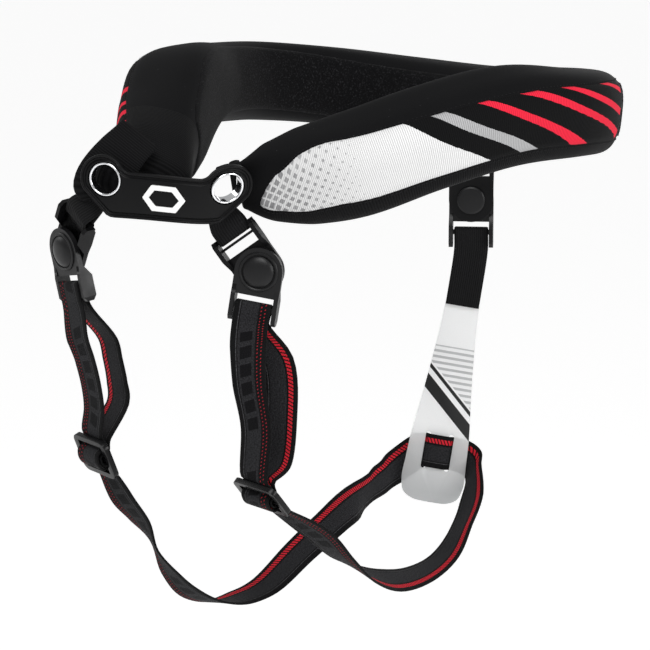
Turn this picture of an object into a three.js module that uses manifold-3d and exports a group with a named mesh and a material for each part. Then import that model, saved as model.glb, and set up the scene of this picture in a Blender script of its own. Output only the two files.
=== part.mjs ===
// Padded neck collar with a front plate, swivel clips and an elastic strap harness.
// Millimetres, +Z up, the front towards -Y and the wearer's left towards +X.
// The origin is the middle of the neck opening, level with the underside at the shoulders.
import * as THREE from "three";
import { mergeVertices } from "three/addons/utils/BufferGeometryUtils.js";
import Module from "manifold-3d";

const wasm = await Module();
wasm.setup();

// Driving dimensions
const GAP = 0.4; // clearance kept between neighbouring pieces
const COVER_THICK = 1.2; // outer panels and lining
const COVER_LIFT = 0.8; // their clearance off the pad's skin
const TAB_THICK = 2; // flat sewn ends of the collar
const PLATE_THICK = 3;
const PLATE_RIM = 1.6; // sloped border round the plate's face
const LOBE_RADIUS = 13.2; // round lobes of the front plate
const LOBE_SHIFT = 1; // how far a lobe's outline sits outside its eyelet
const WAIST_TOP = 4.5; // plate's upper edge between the lobes, over the eyelets' line
const PLATE_DROP = 20.5; // plate's lower edge under that line
const CHAMFER_TURN = 25; // where a cut lower corner meets the lobe, degrees under level
const BADGE = { wide: 24, tall: 14, border: 2.6, high: 1.2, drop: 7.75 };
const EYELET_BORE = 15.6;
const EYELET_OUTER = 18.4;
const WEBBING = { wide: 19.4, thick: 1.5, sewnWide: 15 };
const STRAP = { wide: 19.6, thick: 1.3 };
const CLIP_HALF = 12.9; // half the clip's width, and the radius of its round end
const CLIP_THICK = 2.8;
const RAIL = { inner: 10.5, from: 8.5, deep: 8 };
const PIVOT_HOLE = 4.4;
const SLIDER = { wide: 30, tall: 23, thick: 3, bar: 1.6, window: 8.4, windowWide: 21.6 };
const BACK_TAB = { thick: 1.2, slotApart: 13.6, slotWide: 3, slotTall: 21.6 };

// Facets
const SECTION_SIDES = 24;
const RINGS_PER_ROW = 2;
const NOSE_RINGS = 3;
const COVER_SIDES = 8;
const RIBBON_STEPS = 2;
const ROUND_SIDES = 20;

// Section of the pad: a rounded square |o/a|^p + |u/b|^p = 1
const SECTION_POWER = 3.2;
const NOSE_LENGTH = { left: 2, right: 9 };

// Middle line of the collar, from the wearer's left end round the back to the right end.
// roll turns the outer side down, wide is the thickness from neck side to outer side.
const SPINE = [
  { at: "left tip", x: 10.5, y: -100.5, z: -4.5, roll: 20, wide: 7, tall: 29 },
  { at: "left end", x: 20.5, y: -91.5, z: -3, roll: 22, wide: 24, tall: 45 },
  { at: "left front", x: 35.5, y: -79.5, z: 0.5, roll: 24, wide: 40, tall: 53 },
  { at: "left chest", x: 60, y: -65.5, z: 8.2, roll: 24, wide: 47, tall: 56 },
  { at: "left shoulder", x: 84.5, y: -38.5, z: 20.6, roll: 22, wide: 48, tall: 55 },
  { at: "left side", x: 106, y: 0, z: 30.5, roll: 16, wide: 48, tall: 53 },
  { at: "left rear", x: 114, y: 45, z: 29, roll: 8, wide: 46, tall: 49 },
  { at: "left corner", x: 94, y: 88, z: 24, roll: 4, wide: 44, tall: 49 },
  { at: "left back", x: 50, y: 112, z: 19, roll: 2, wide: 44, tall: 48 },
  { at: "back", x: 0, y: 118, z: 17, roll: 2, wide: 44, tall: 48 },
  { at: "right back", x: -50, y: 112, z: 19, roll: 2, wide: 44, tall: 48 },
  { at: "right corner", x: -92, y: 88, z: 24, roll: 4, wide: 44, tall: 48 },
  { at: "right rear", x: -112, y: 45, z: 29, roll: 8, wide: 46, tall: 48 },
  { at: "right side", x: -108, y: 0, z: 31.5, roll: 12, wide: 50, tall: 48 },
  { at: "right shoulder", x: -89, y: -44, z: 32, roll: 8, wide: 53, tall: 53 },
  { at: "right chest", x: -65, y: -82, z: 17, roll: 0, wide: 50, tall: 52 },
  { at: "right front", x: -46, y: -112, z: 3, roll: -22, wide: 46, tall: 51 },
  { at: "right end", x: -36, y: -127, z: -4, roll: -30, wide: 38, tall: 42 },
];

// Covers on the pad: row number k along the spine, and the two edges as degrees from the outer side.
const COVERS = {
  side_panel_left: [
    { k: 0.6, low: -52, high: -42 },
    { k: 0.75, low: -52, high: -8 },
    { k: 0.95, low: -49, high: 22 },
    { k: 1.2, low: -43, high: 42 },
    { k: 1.85, low: -32, high: 53 },
    { k: 2.7, low: -24, high: 61 },
    { k: 3.65, low: -24, high: 58 },
    { k: 5.05, low: -27, high: 49 },
    { k: 6.6, low: -32, high: 48 },
  ],
  back_panel: [
    { k: 6.65, low: -32, high: 48 },
    { k: 11.35, low: -32, high: 48 },
  ],
  side_panel_right: [
    { k: 11.4, low: -32, high: 48 },
    { k: 13, low: -27, high: 49 },
    { k: 15, low: -25, high: 48 },
    { k: 16, low: -30, high: 42 },
  ],
  inner_lining: [
    { k: 2.5, low: 135, high: 225 },
    { k: 15.5, low: 135, high: 225 },
  ],
};

// Eyelet centres on the plate, and the way the plate faces there
const LOBES = {
  right: { place: [-40.1, -152.3, 0], azimuth: 20, elevation: -4, pull: 36 },
  left: { place: [17.3, -120.5, -2.6], azimuth: 68, elevation: -20, pull: 18 },
};

// Clips: pivot, the way the face looks, and the swing of each half in its own plane
const CLIPS = [
  { side: "left", place: [24.3, -103.2, -48.4], azimuth: 30, elevation: 0, upper: 36, lower: -9 },
  { side: "right", place: [-74.0, -147.6, -42.5], azimuth: -12, elevation: -7, upper: -34, lower: 10 },
  { side: "back", place: [4.1, 104.8, -36.8], azimuth: 215, elevation: 0, upper: 0, lower: 0 },
];

// Strap strands between the fittings, as [x, y, z]
const STRANDS = {
  leftFront: [[28.6, -117.4, -88.1], [32, -120.4, -105.8], [36.3, -119.9, -129.4]],
  leftBack: [[35.6, -103.5, -150], [34.2, -98.2, -127], [28.8, -94.9, -98]],
  rightFront: [[-58.6, -156.2, -87.6], [-52.7, -157.1, -98.5], [-48.3, -157.2, -111.4], [-47.3, -156.2, -124.9]],
  rightBack: [[-51.8, -133.4, -124.1], [-55.3, -130.5, -114.1], [-58.7, -130.0, -102.6], [-61.0, -131.2, -91.7]],
  rightRun: [
    [-41.5, -141.0, -176.4], [-36.8, -133.0, -188.9], [-33.2, -125.6, -203.9], [-28.9, -117.2, -220.7],
    [-25.1, -105.8, -233.5], [-20.7, -90.5, -240.8], [-17.5, -73.6, -241.7], [-15.3, -55.3, -238.5],
    [-14.2, -26.7, -224.3], [-10.9, 0, -210.1],
  ],
  leftRun: [
    [26.8, 78, -207.6], [33, 59.7, -220.6], [39.4, 36.8, -231.1], [44, 8.4, -234.6], [48.1, -23, -230.5],
    [50.8, -47.9, -220.6], [50.4, -65.9, -208.5], [47.8, -83.5, -192],
  ],
};

// Turn of a free run's marked edge, in degrees: 0 is to the left of its course as a viewer at its front left sees it,
// 90 is towards that viewer
const STRAP_TURNS = {
  rightRun: [230, 238, 262, 240, 236, 258, 290, 310, 325, 335],
  leftRun: [62, 64, 60, 62, 66, 90, 118, 134],
};

const collar = new THREE.Group();

function vec(x, y, z) {
  return new THREE.Vector3(x, y, z);
}

function rad(degrees) {
  return THREE.MathUtils.degToRad(degrees);
}

function addPiece(name, geometry, material) {
  const mesh = new THREE.Mesh(geometry, material);
  mesh.name = name;
  collar.add(mesh);
}

function cloth(color) {
  return new THREE.MeshStandardMaterial({ color, roughness: 0.85 });
}

// Skin through rings of equal length: capped at both ends, or closed on itself. The two faces of a thin band
// are paired: both are split along the same diagonals, so a twist can't make them cross.
function loft(rings, { closed = false, paired = false } = {}) {
  const sides = rings[0].length;
  const count = rings.length;
  const faces = [];
  for (let r = 0; r < (closed ? count : count - 1); r++) {
    const next = ((r + 1) % count) * sides;
    for (let s = 0; s < sides; s++) {
      const t = (s + 1) % sides;
      const [a, b, c, d] = [r * sides + s, next + s, next + t, r * sides + t];
      faces.push(...(paired && s >= sides / 2 ? [a, b, c, a, c, d] : [a, b, d, d, b, c]));
    }
  }
  const last = (count - 1) * sides;
  for (let s = 0; !closed && s < sides / 2 - 1; s++) {
    const quad = [s, s + 1, sides - 2 - s, sides - 1 - s];
    faces.push(quad[0], quad[1], quad[3], quad[1], quad[2], quad[3]);
    faces.push(...[0, 3, 1, 1, 3, 2].map((i) => last + quad[i]));
  }
  const geometry = new THREE.BufferGeometry();
  geometry.setAttribute("position", new THREE.Float32BufferAttribute(rings.flat().flatMap((p) => p.toArray()), 3));
  geometry.setIndex(faces);
  return geometry;
}

function toSolid(geometry) {
  const bare = geometry.clone();
  bare.deleteAttribute("normal");
  bare.deleteAttribute("uv");
  const merged = mergeVertices(bare, 1e-4);
  return new wasm.Manifold(new wasm.Mesh({
    numProp: 3,
    vertProperties: merged.attributes.position.array,
    triVerts: Uint32Array.from(merged.index.array),
  }));
}

function fromSolid(solid) {
  const mesh = solid.getMesh();
  const geometry = new THREE.BufferGeometry();
  geometry.setAttribute("position", new THREE.BufferAttribute(mesh.vertProperties, 3));
  geometry.setIndex(new THREE.BufferAttribute(mesh.triVerts, 1));
  return geometry;
}

// Pad
const spineLine = new THREE.CatmullRomCurve3(SPINE.map((row) => vec(row.x, row.y, row.z)));
const spineSizes = new THREE.CatmullRomCurve3(SPINE.map((row) => vec(row.roll, row.wide, row.tall)));
const lastRow = SPINE.length - 1;

// Frame of the section at row number k (may fall between rows).
function sectionAt(k) {
  const t = THREE.MathUtils.clamp(k / lastRow, 0, 1);
  const along = spineLine.getTangent(t);
  const level = along.clone().cross(vec(0, 0, 1)).normalize();
  const rise = level.clone().cross(along);
  const size = spineSizes.getPoint(t);
  const [c, s] = [Math.cos(rad(size.x)), Math.sin(rad(size.x))];
  const out = level.clone().multiplyScalar(c).addScaledVector(rise, -s);
  const up = rise.multiplyScalar(c).addScaledVector(level, s);
  return { centre: spineLine.getPoint(t), along, out, up, wide: size.y, tall: size.z };
}

// Point on a section's skin at an angle from its outer side towards its top, lifted off the skin.
function skinPoint(section, angle, lift = 0) {
  const c = Math.cos(rad(angle));
  const s = Math.sin(rad(angle));
  const a = section.wide / 2 + lift;
  const b = section.tall / 2 + lift;
  const reach = (Math.abs(c / a) ** SECTION_POWER + Math.abs(s / b) ** SECTION_POWER) ** (-1 / SECTION_POWER);
  return section.centre.clone().addScaledVector(section.out, c * reach).addScaledVector(section.up, s * reach);
}

// Ring of the pad's skin, from the top, so that the end caps split across the thin way.
function padRing(section) {
  return Array.from({ length: SECTION_SIDES }, (_, i) => skinPoint(section, 90 + (360 * i) / SECTION_SIDES));
}

// Rings that close an end as a rounded nose, this far beyond row k.
function noseRings(k, length) {
  const root = sectionAt(k);
  return Array.from({ length: NOSE_RINGS }, (_, i) => {
    const angle = (rad(90) * (i + 1)) / (NOSE_RINGS + 0.5);
    const shrink = Math.cos(angle);
    const centre = root.centre.clone().addScaledVector(root.along, length * Math.sin(angle));
    return padRing({ ...root, centre, wide: root.wide * shrink, tall: root.tall - root.wide * (1 - shrink) });
  });
}

const padRings = noseRings(0, -NOSE_LENGTH.left).reverse();
for (let i = 0; i <= lastRow * RINGS_PER_ROW; i++) {
  padRings.push(padRing(sectionAt(i / RINGS_PER_ROW)));
}
padRings.push(...noseRings(lastRow, NOSE_LENGTH.right));
addPiece("collar_pad", loft(padRings), cloth(0x17181a));

// Outer panels and lining: thin covers just off the pad's skin, with rings where the pad has them
function cover(rows) {
  const ks = rows.map((row) => row.k);
  for (let i = 0; i <= lastRow * RINGS_PER_ROW; i++) {
    ks.push(i / RINGS_PER_ROW);
  }
  const inside = [...new Set(ks)].filter((k) => k >= rows[0].k && k <= rows.at(-1).k).sort((a, b) => a - b);
  return loft(inside.map((k) => {
    const i = Math.min(rows.findLastIndex((row) => row.k <= k), rows.length - 2);
    const share = (k - rows[i].k) / (rows[i + 1].k - rows[i].k);
    const low = THREE.MathUtils.lerp(rows[i].low, rows[i + 1].low, share);
    const high = THREE.MathUtils.lerp(rows[i].high, rows[i + 1].high, share);
    const section = sectionAt(k);
    const skin = (lift) => Array.from({ length: COVER_SIDES + 1 }, (_, j) =>
      skinPoint(section, low + ((high - low) * j) / COVER_SIDES, lift));
    return [...skin(COVER_LIFT + COVER_THICK), ...skin(COVER_LIFT).reverse()];
  }));
}
for (const [name, rows] of Object.entries(COVERS)) {
  addPiece(name, cover(rows), cloth(name === "inner_lining" ? 0x1b1b1d : 0x202124));
}

// Frames: X' to the right, Y' up and Z' towards a viewer at this azimuth and elevation
function facing(azimuth, elevation) {
  const level = Math.cos(rad(elevation));
  return vec(Math.sin(rad(azimuth)) * level, -Math.cos(rad(azimuth)) * level, Math.sin(rad(elevation)));
}

function frameOf({ place, azimuth, elevation }, swing = 0) {
  const front = facing(azimuth, elevation);
  const up = vec(0, 0, 1).addScaledVector(front, -front.z).normalize();
  const frame = new THREE.Matrix4().makeBasis(up.clone().cross(front), up, front).setPosition(...place);
  return frame.multiply(new THREE.Matrix4().makeRotationZ(rad(swing)));
}

function axis(frame, column) {
  return vec().setFromMatrixColumn(frame, column);
}

// Front plate: sections along a line from lobe to lobe
const lobeFrames = { left: frameOf(LOBES.left), right: frameOf(LOBES.right) };
const lobeCentre = { left: axis(lobeFrames.left, 3), right: axis(lobeFrames.right, 3) };
const plateLine = new THREE.CubicBezierCurve3(
  lobeCentre.right,
  lobeCentre.right.clone().addScaledVector(axis(lobeFrames.right, 0), LOBES.right.pull),
  lobeCentre.left.clone().addScaledVector(axis(lobeFrames.left, 0), -LOBES.left.pull),
  lobeCentre.left,
);
const plateHalf = plateLine.getLength() / 2;

// Frame of the plate p millimetres from its middle towards the wearer's left.
function plateFrame(p) {
  const t = THREE.MathUtils.clamp(p / plateHalf / 2 + 0.5, 0, 1);
  const along = plateLine.getTangentAt(t);
  const up = axis(lobeFrames.right, 1).lerp(axis(lobeFrames.left, 1), t);
  up.addScaledVector(along, -up.dot(along)).normalize();
  const beyond = p - THREE.MathUtils.clamp(p, -plateHalf, plateHalf);
  const place = plateLine.getPointAt(t).addScaledVector(along, beyond);
  return new THREE.Matrix4().makeBasis(along, up, along.clone().cross(up)).setPosition(place);
}

const lobeMiddle = plateHalf + LOBE_SHIFT;
const chamferFrom = plateHalf - 1;
const chamferTo = lobeMiddle + LOBE_RADIUS * Math.cos(rad(CHAMFER_TURN));
const waistTo = lobeMiddle - Math.sqrt(LOBE_RADIUS ** 2 - WAIST_TOP ** 2);

function plateRing(p) {
  const a = Math.abs(p);
  const lobe = Math.sqrt(Math.max(LOBE_RADIUS ** 2 - (a - lobeMiddle) ** 2, 0));
  const slope = (PLATE_DROP - LOBE_RADIUS * Math.sin(rad(CHAMFER_TURN))) / (chamferTo - chamferFrom);
  const top = a > waistTo ? lobe : WAIST_TOP;
  const bottom = a > chamferTo ? -lobe : Math.max(a - chamferFrom, 0) * slope - PLATE_DROP;
  const rim = Math.min(PLATE_RIM, (top - bottom) / 3);
  const half = PLATE_THICK / 2;
  const frame = plateFrame(p);
  const profile = [
    [half, bottom + rim], [half, top - rim], [half - rim / 2, top], [-half, top], [-half, bottom], [half - rim / 2, bottom],
  ];
  return profile.map(([front, up]) => vec(0, up, front).applyMatrix4(frame));
}

const lobeStops = [8, 18, 30, 44, 60, 76, 92, 108, 124, 140].map((a) => lobeMiddle + LOBE_RADIUS * Math.cos(rad(a)));
const halfStops = [...lobeStops, chamferFrom, waistTo, plateHalf * 0.5, plateHalf * 0.25];
const plateStops = [0, ...halfStops, ...halfStops.map((p) => -p)].sort((a, b) => a - b);

function bore(frame, radius) {
  const rod = new THREE.CylinderGeometry(radius, radius, 40, ROUND_SIDES).rotateX(rad(90));
  return toSolid(rod.applyMatrix4(frame));
}

function boreBoth(solid, radius) {
  return fromSolid(solid.subtract(bore(lobeFrames.left, radius)).subtract(bore(lobeFrames.right, radius)));
}

const moulded = new THREE.MeshStandardMaterial({ color: 0x1c1d1f, roughness: 0.6 });
addPiece("front_plate", boreBoth(toSolid(loft(plateStops.map(plateRing))), EYELET_OUTER / 2 + GAP), moulded);

// Badge: a plain raised six-sided frame
function hexagon(Kind, wide, tall) {
  const outline = new Kind();
  const corners = [[0.5, 0], [0.28, 0.5], [-0.28, 0.5], [-0.5, 0], [-0.28, -0.5], [0.28, -0.5]];
  outline.setFromPoints(corners.map(([x, y]) => new THREE.Vector2(x * wide, y * tall)));
  outline.closePath();
  return outline;
}
const badgeShape = hexagon(THREE.Shape, BADGE.wide, BADGE.tall);
badgeShape.holes.push(hexagon(THREE.Path, BADGE.wide - 2.6 * BADGE.border, BADGE.tall - 2 * BADGE.border));
const badge = new THREE.ExtrudeGeometry(badgeShape, { depth: BADGE.high, bevelEnabled: false });
badge.translate(0, -BADGE.drop, PLATE_THICK / 2 + GAP).applyMatrix4(plateFrame(0));
addPiece("plate_badge", badge, new THREE.MeshStandardMaterial({ color: 0xe9e9e7, roughness: 0.5 }));

// Turned pieces: [radius, height] along Z' of a frame, closed into a ring when hollow
function turned(frame, profile, hollow = false) {
  return loft(profile.map(([radius, height]) => Array.from({ length: ROUND_SIDES }, (_, i) => {
    const angle = (2 * Math.PI * i) / ROUND_SIDES;
    return vec(radius * Math.cos(angle), -radius * Math.sin(angle), height).applyMatrix4(frame);
  })), { closed: hollow });
}

const chrome = new THREE.MeshStandardMaterial({ color: 0xd9dadc, roughness: 0.2, metalness: 1 });
const tabBack = -(PLATE_THICK / 2 + GAP + TAB_THICK);
const eyeletProfile = [
  [EYELET_BORE / 2, tabBack - 0.6], [EYELET_OUTER / 2, tabBack - 0.6], [EYELET_OUTER / 2, 0.4],
  [EYELET_OUTER / 2 - 0.4, 0.9], [EYELET_BORE / 2 + 0.5, 0.9], [EYELET_BORE / 2, 0.2],
];
for (const side of ["left", "right"]) {
  addPiece(`eyelet_${side}`, turned(lobeFrames[side], eyeletProfile, true), chrome);
}

// Flat bands: rows of { p, w, wide }, w the way one edge points
function ribbon(rows, thick, steps = RIBBON_STEPS) {
  const line = new THREE.CatmullRomCurve3(rows.map((row) => row.p));
  const edge = new THREE.CatmullRomCurve3(rows.map((row) => row.w));
  const size = new THREE.CatmullRomCurve3(rows.map((row) => vec(row.wide, 0, 0)));
  const count = (rows.length - 1) * steps;
  const rings = Array.from({ length: count + 1 }, (_, i) => {
    const along = line.getTangent(i / count);
    const w = edge.getPoint(i / count);
    w.addScaledVector(along, -w.dot(along)).normalize();
    const n = along.clone().cross(w).multiplyScalar(thick / 2);
    w.multiplyScalar(size.getPoint(i / count).x / 2);
    const corners = [[1, -1], [1, 1], [-1, 1], [-1, -1]];
    return corners.map(([a, b]) => line.getPoint(i / count).addScaledVector(n, a).addScaledVector(w, b));
  });
  return toSolid(loft(rings, { paired: true }));
}

// Rows of a band given in a frame as [across, up, front], one of the band's edges pointing this way in the frame
function rowsIn(frame, points, wide, edge = vec(1, 0, 0)) {
  const w = edge.clone().transformDirection(frame);
  return points.map((point) => ({ p: vec(...point).applyMatrix4(frame), w, wide }));
}

// Sewn flat ends of the collar, behind the lobes
const tabMiddle = tabBack + TAB_THICK / 2;
const tip = sectionAt(0);
const tongueRoot = tip.centre.clone().addScaledVector(tip.along, -NOSE_LENGTH.left - 3.2).addScaledVector(tip.up, 4.5);
const tongue = [
  { p: tongueRoot, w: tip.up, wide: 18 },
  ...rowsIn(lobeFrames.left, [[6.5, 0.6, tabMiddle - 2.6]], 22.5, vec(0, 1, 0)),
  ...rowsIn(lobeFrames.left, [[0, 0.3, tabMiddle - 0.7]], 23.5, vec(0, 1, 0)),
  ...rowsIn(lobeFrames.left, [[-5.5, 0, tabMiddle - 0.7]], 21, vec(0, 1, 0)),
];
const flap = [
  ...rowsIn(lobeFrames.right, [[11.2, 21.8, -17]], 34),
  ...rowsIn(lobeFrames.right, [[4.2, 10.6, -7.8]], 36, vec(0.95, -0.3, 0.1)),
  ...rowsIn(lobeFrames.right, [[-3, -5.5, tabMiddle - 0.4]], 31),
  ...rowsIn(lobeFrames.right, [[-2.8, -11.2, tabMiddle - 0.1]], 18),
];
for (const [side, rows] of [["left", tongue], ["right", flap]]) {
  addPiece(`end_tab_${side}`, boreBoth(ribbon(rows, TAB_THICK), EYELET_OUTER / 2 + GAP), cloth(0x1a1b1d));
}

// Swivel clips: two halves on a snap button. Each half reaches up from the pivot in its own frame.
function rectangle(Kind, x0, y0, x1, y1) {
  const outline = new Kind();
  outline.moveTo(x0, y0).lineTo(x1, y0).lineTo(x1, y1).lineTo(x0, y1).closePath();
  return outline;
}

function clipHalf({ reach, rails, slots, from, boss }) {
  const outline = new THREE.Shape();
  outline.absarc(0, 0, CLIP_HALF, Math.PI, 2 * Math.PI);
  outline.lineTo(CLIP_HALF, reach).lineTo(-CLIP_HALF, reach).closePath();
  outline.holes.push(new THREE.Path().absarc(0, 0, PIVOT_HOLE, 0, 2 * Math.PI));
  for (const [low, high] of slots) {
    outline.holes.push(rectangle(THREE.Path, -RAIL.inner, low, RAIL.inner, high));
  }
  const plate = new THREE.ExtrudeGeometry(outline, { depth: CLIP_THICK, bevelEnabled: false, curveSegments: 7 });
  let solid = toSolid(plate.translate(0, 0, from));
  for (const side of [-1, 1]) {
    const rail = new THREE.BoxGeometry(CLIP_HALF - RAIL.inner, rails - RAIL.from, RAIL.deep);
    rail.translate((side * (CLIP_HALF + RAIL.inner)) / 2, (rails + RAIL.from) / 2, 0);
    solid = solid.add(toSolid(rail));
  }
  if (boss) {
    const [inner, outer, high] = boss;
    const ring = new THREE.Shape().absarc(0, 0, outer, 0, 2 * Math.PI);
    ring.holes.push(new THREE.Path().absarc(0, 0, inner, 0, 2 * Math.PI));
    const rim = new THREE.ExtrudeGeometry(ring, { depth: high + 1, bevelEnabled: false, curveSegments: 6 });
    solid = solid.add(toSolid(rim.translate(0, 0, from + CLIP_THICK - 1)));
  }
  return solid;
}

const CLIP_UPPER = { reach: 26, rails: 26, slots: [[13.9, 18.9], [20.3, 23.4]], from: -3.2 };
const CLIP_LOWER = { reach: 20.8, rails: 28, slots: [[13.2, 18.2]], from: 0.4, boss: [9, 10.4, 1] };
const BUTTON = [
  [6.5, -5.2], [8, -4.6], [8, -3.6], [4, -3.6], [4, 3.6], [8, 3.6], [7.6, 4.6], [5.6, 5.6], [2, 6],
];
const upperFrame = {};
const lowerFrame = {};
for (const clip of CLIPS) {
  upperFrame[clip.side] = frameOf(clip, clip.upper);
  lowerFrame[clip.side] = frameOf(clip, clip.lower + 180);
  addPiece(`clip_upper_${clip.side}`, fromSolid(clipHalf(CLIP_UPPER)).applyMatrix4(upperFrame[clip.side]), moulded);
  addPiece(`clip_lower_${clip.side}`, fromSolid(clipHalf(CLIP_LOWER)).applyMatrix4(lowerFrame[clip.side]), moulded);
  addPiece(`clip_button_${clip.side}`, turned(frameOf(clip), BUTTON), moulded);
}

// Webbing loops round the clips' top bars
const TOP_BAR_TURN = [
  [0, 28.5, 0.8], [0, 24.9, 0.8], [0, 22.6, 0.5], [0, 22.2, -1.8], [0, 22.6, -4.1], [0, 24.9, -4.4], [0, 28.5, -4.4],
];
const webbingFront = tabBack - GAP - WEBBING.thick / 2;
const webbingBack = webbingFront - GAP - WEBBING.thick;
// Where the loops are sewn under the lobes, as [across, up] behind the eyelet, and their lean in degrees
const SEWN_AT = {
  left: { end: [0, -14.2], edge: [1.5, -17.5], lean: 28 },
  right: { end: [-8.9, -11.4], edge: [-11.1, -14.2], lean: -38 },
};
for (const [side, { end, edge, lean }] of Object.entries(SEWN_AT)) {
  const across = vec(Math.cos(rad(lean)), Math.sin(rad(lean)), 0);
  const front = [[...end, webbingFront - GAP], [...edge, webbingFront - GAP]];
  const back = [[...edge, webbingBack - GAP], [...end, webbingBack - GAP]];
  addPiece(`webbing_${side}`, fromSolid(ribbon([
    ...rowsIn(lobeFrames[side], front, WEBBING.sewnWide, across),
    ...rowsIn(upperFrame[side], TOP_BAR_TURN, WEBBING.wide),
    ...rowsIn(lobeFrames[side], back, WEBBING.sewnWide, across),
  ], WEBBING.thick)), cloth(0x18181a));
}
const backLoop = ribbon(rowsIn(upperFrame.back, TOP_BAR_TURN, WEBBING.wide), WEBBING.thick);
addPiece("webbing_back", fromSolid(backLoop), cloth(0x18181a));

// Sliders: three-bar plates
const SLIDERS = {
  left: { place: [38, -117.3, -166.2], right: [0.996, -0.024, -0.08], up: [-0.17, -0.67, 0.72] },
  right: { place: [-49.2, -153.3, -150.7], right: [0.978, -0.2, -0.04], up: [-0.042, -0.396, 0.912] },
};
const sliderFrame = {};
for (const [side, { place, right, up }] of Object.entries(SLIDERS)) {
  const across = vec(...right).normalize();
  const front = across.clone().cross(vec(...up)).normalize();
  sliderFrame[side] = new THREE.Matrix4().makeBasis(across, front.clone().cross(across), front).setPosition(...place);
  const shape = rectangle(THREE.Shape, -SLIDER.wide / 2, -SLIDER.tall / 2, SLIDER.wide / 2, SLIDER.tall / 2);
  for (const way of [-1, 1]) {
    const [low, high] = [way * SLIDER.bar, way * SLIDER.window].sort((a, b) => a - b);
    shape.holes.push(rectangle(THREE.Path, -SLIDER.windowWide / 2, low, SLIDER.windowWide / 2, high));
  }
  const plate = new THREE.ExtrudeGeometry(shape, { depth: SLIDER.thick, bevelEnabled: false });
  addPiece(`slider_${side}`, plate.translate(0, 0, -SLIDER.thick / 2).applyMatrix4(sliderFrame[side]), moulded);
}

// Back tab: a slotted plate that widens downwards, its frame centred between the slots
const TAB_OUTLINE = [[9.6, 93], [11.3, 65], [14, 36], [17, 10], [17.8, -5], [18.3, -18], [16, -26], [10, -29.5]];
const tabFrame = new THREE.Matrix4();
{
  const up = vec(3, 99.1, -98.3).sub(vec(-1.3, 74.7, -211.6)).normalize();
  const front = facing(35, 0);
  front.addScaledVector(up, -front.dot(up)).normalize();
  tabFrame.makeBasis(up.clone().cross(front), up, front).setPosition(0.1, 79.8, -183.6);
}
const tabShape = new THREE.Shape();
const tabCorners = [...TAB_OUTLINE.map(([x, y]) => [-x, y]), ...[...TAB_OUTLINE].reverse()];
tabShape.setFromPoints(tabCorners.map(([x, y]) => new THREE.Vector2(x, y)));
const tabPlate = new THREE.ExtrudeGeometry(tabShape, { depth: BACK_TAB.thick, bevelEnabled: false });
let tabSolid = toSolid(tabPlate.translate(0, 0, -BACK_TAB.thick / 2));
for (const way of [-1, 1]) {
  const slot = new THREE.BoxGeometry(BACK_TAB.slotWide, BACK_TAB.slotTall, BACK_TAB.thick * 2);
  tabSolid = tabSolid.subtract(toSolid(slot.translate((way * BACK_TAB.slotApart) / 2, 0, 0)));
}
addPiece("back_tab", fromSolid(tabSolid).applyMatrix4(tabFrame),
  new THREE.MeshStandardMaterial({ color: 0xe4e6e6, roughness: 0.35, transparent: true, opacity: 0.8 }));

// Elastic straps. Turns are [across, up, front] in a fitting's frame.
const LOWER_BAR_TURN = [
  [0, 30, -0.8], [0, 20, -0.8], [0, 17.6, -0.5], [0, 17.1, 1.8], [0, 17.6, 4.1], [0, 20, 4.4], [0, 30, 4.4],
];
const SEWN_END = [
  [0, -1.6, -3.4], [0, -3.2, 0], [0, -2.2, 2.4], [0, 0, 3], [0, 2.2, 2.4], [0, 3.2, 0], [0, 3.6, -3.6], [0, 8, -6],
];
const SLIDER_TURN = [
  [0, 13, -2.8], [0, 8.6, -2.8], [0, 6.6, -2], [0, 5.6, 0], [0, 4.4, 3.6], [0, 0, 5], [0, -4.4, 3.6], [0, -5.6, 0], [0, -6.6, -2],
];
const RUN_TURN = [[0, -9.2, -2.9], [0, -14, -2.9]];
const TAB_TURN = [
  [-36, -28, 9], [-29, -20.5, 1.2], [-24, -15, -2.8], [-16.5, -7, -4], [-10.5, -1.2, -3], [-7.7, 0, -1.5], [-6.8, 0, 0],
  [-5.9, 0, 1.5], [-4, 0, 2.2], [4, 0, 2.2], [5.9, 0, 1.5], [6.8, 0, 0], [7.7, 0, -1.5], [10, 0, -2.4], [16.5, -1, -2.8],
  [21.5, -5, -0.5],
];

// Rows through free points, the edge turning from one fitting's to the next
function rowsBetween(points, first, last, wide) {
  return points.map((point, i) => {
    const share = (i + 1) / (points.length + 1);
    return { p: vec(...point), w: first.clone().lerp(last, share).normalize(), wide };
  });
}

// Rows of a free run, its edge turned as the table says
function rowsTurned(name) {
  const viewer = facing(40, 8);
  const points = STRANDS[name].map((point) => vec(...point));
  return points.map((p, i) => {
    const heading = points[Math.min(i + 1, points.length - 1)].clone().sub(points[Math.max(i - 1, 0)]).normalize();
    const left = viewer.clone().cross(heading).normalize();
    const near = heading.clone().cross(left);
    const turn = rad(STRAP_TURNS[name][i]);
    return { p, w: left.multiplyScalar(Math.cos(turn)).addScaledVector(near, Math.sin(turn)), wide: STRAP.wide };
  });
}

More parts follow.
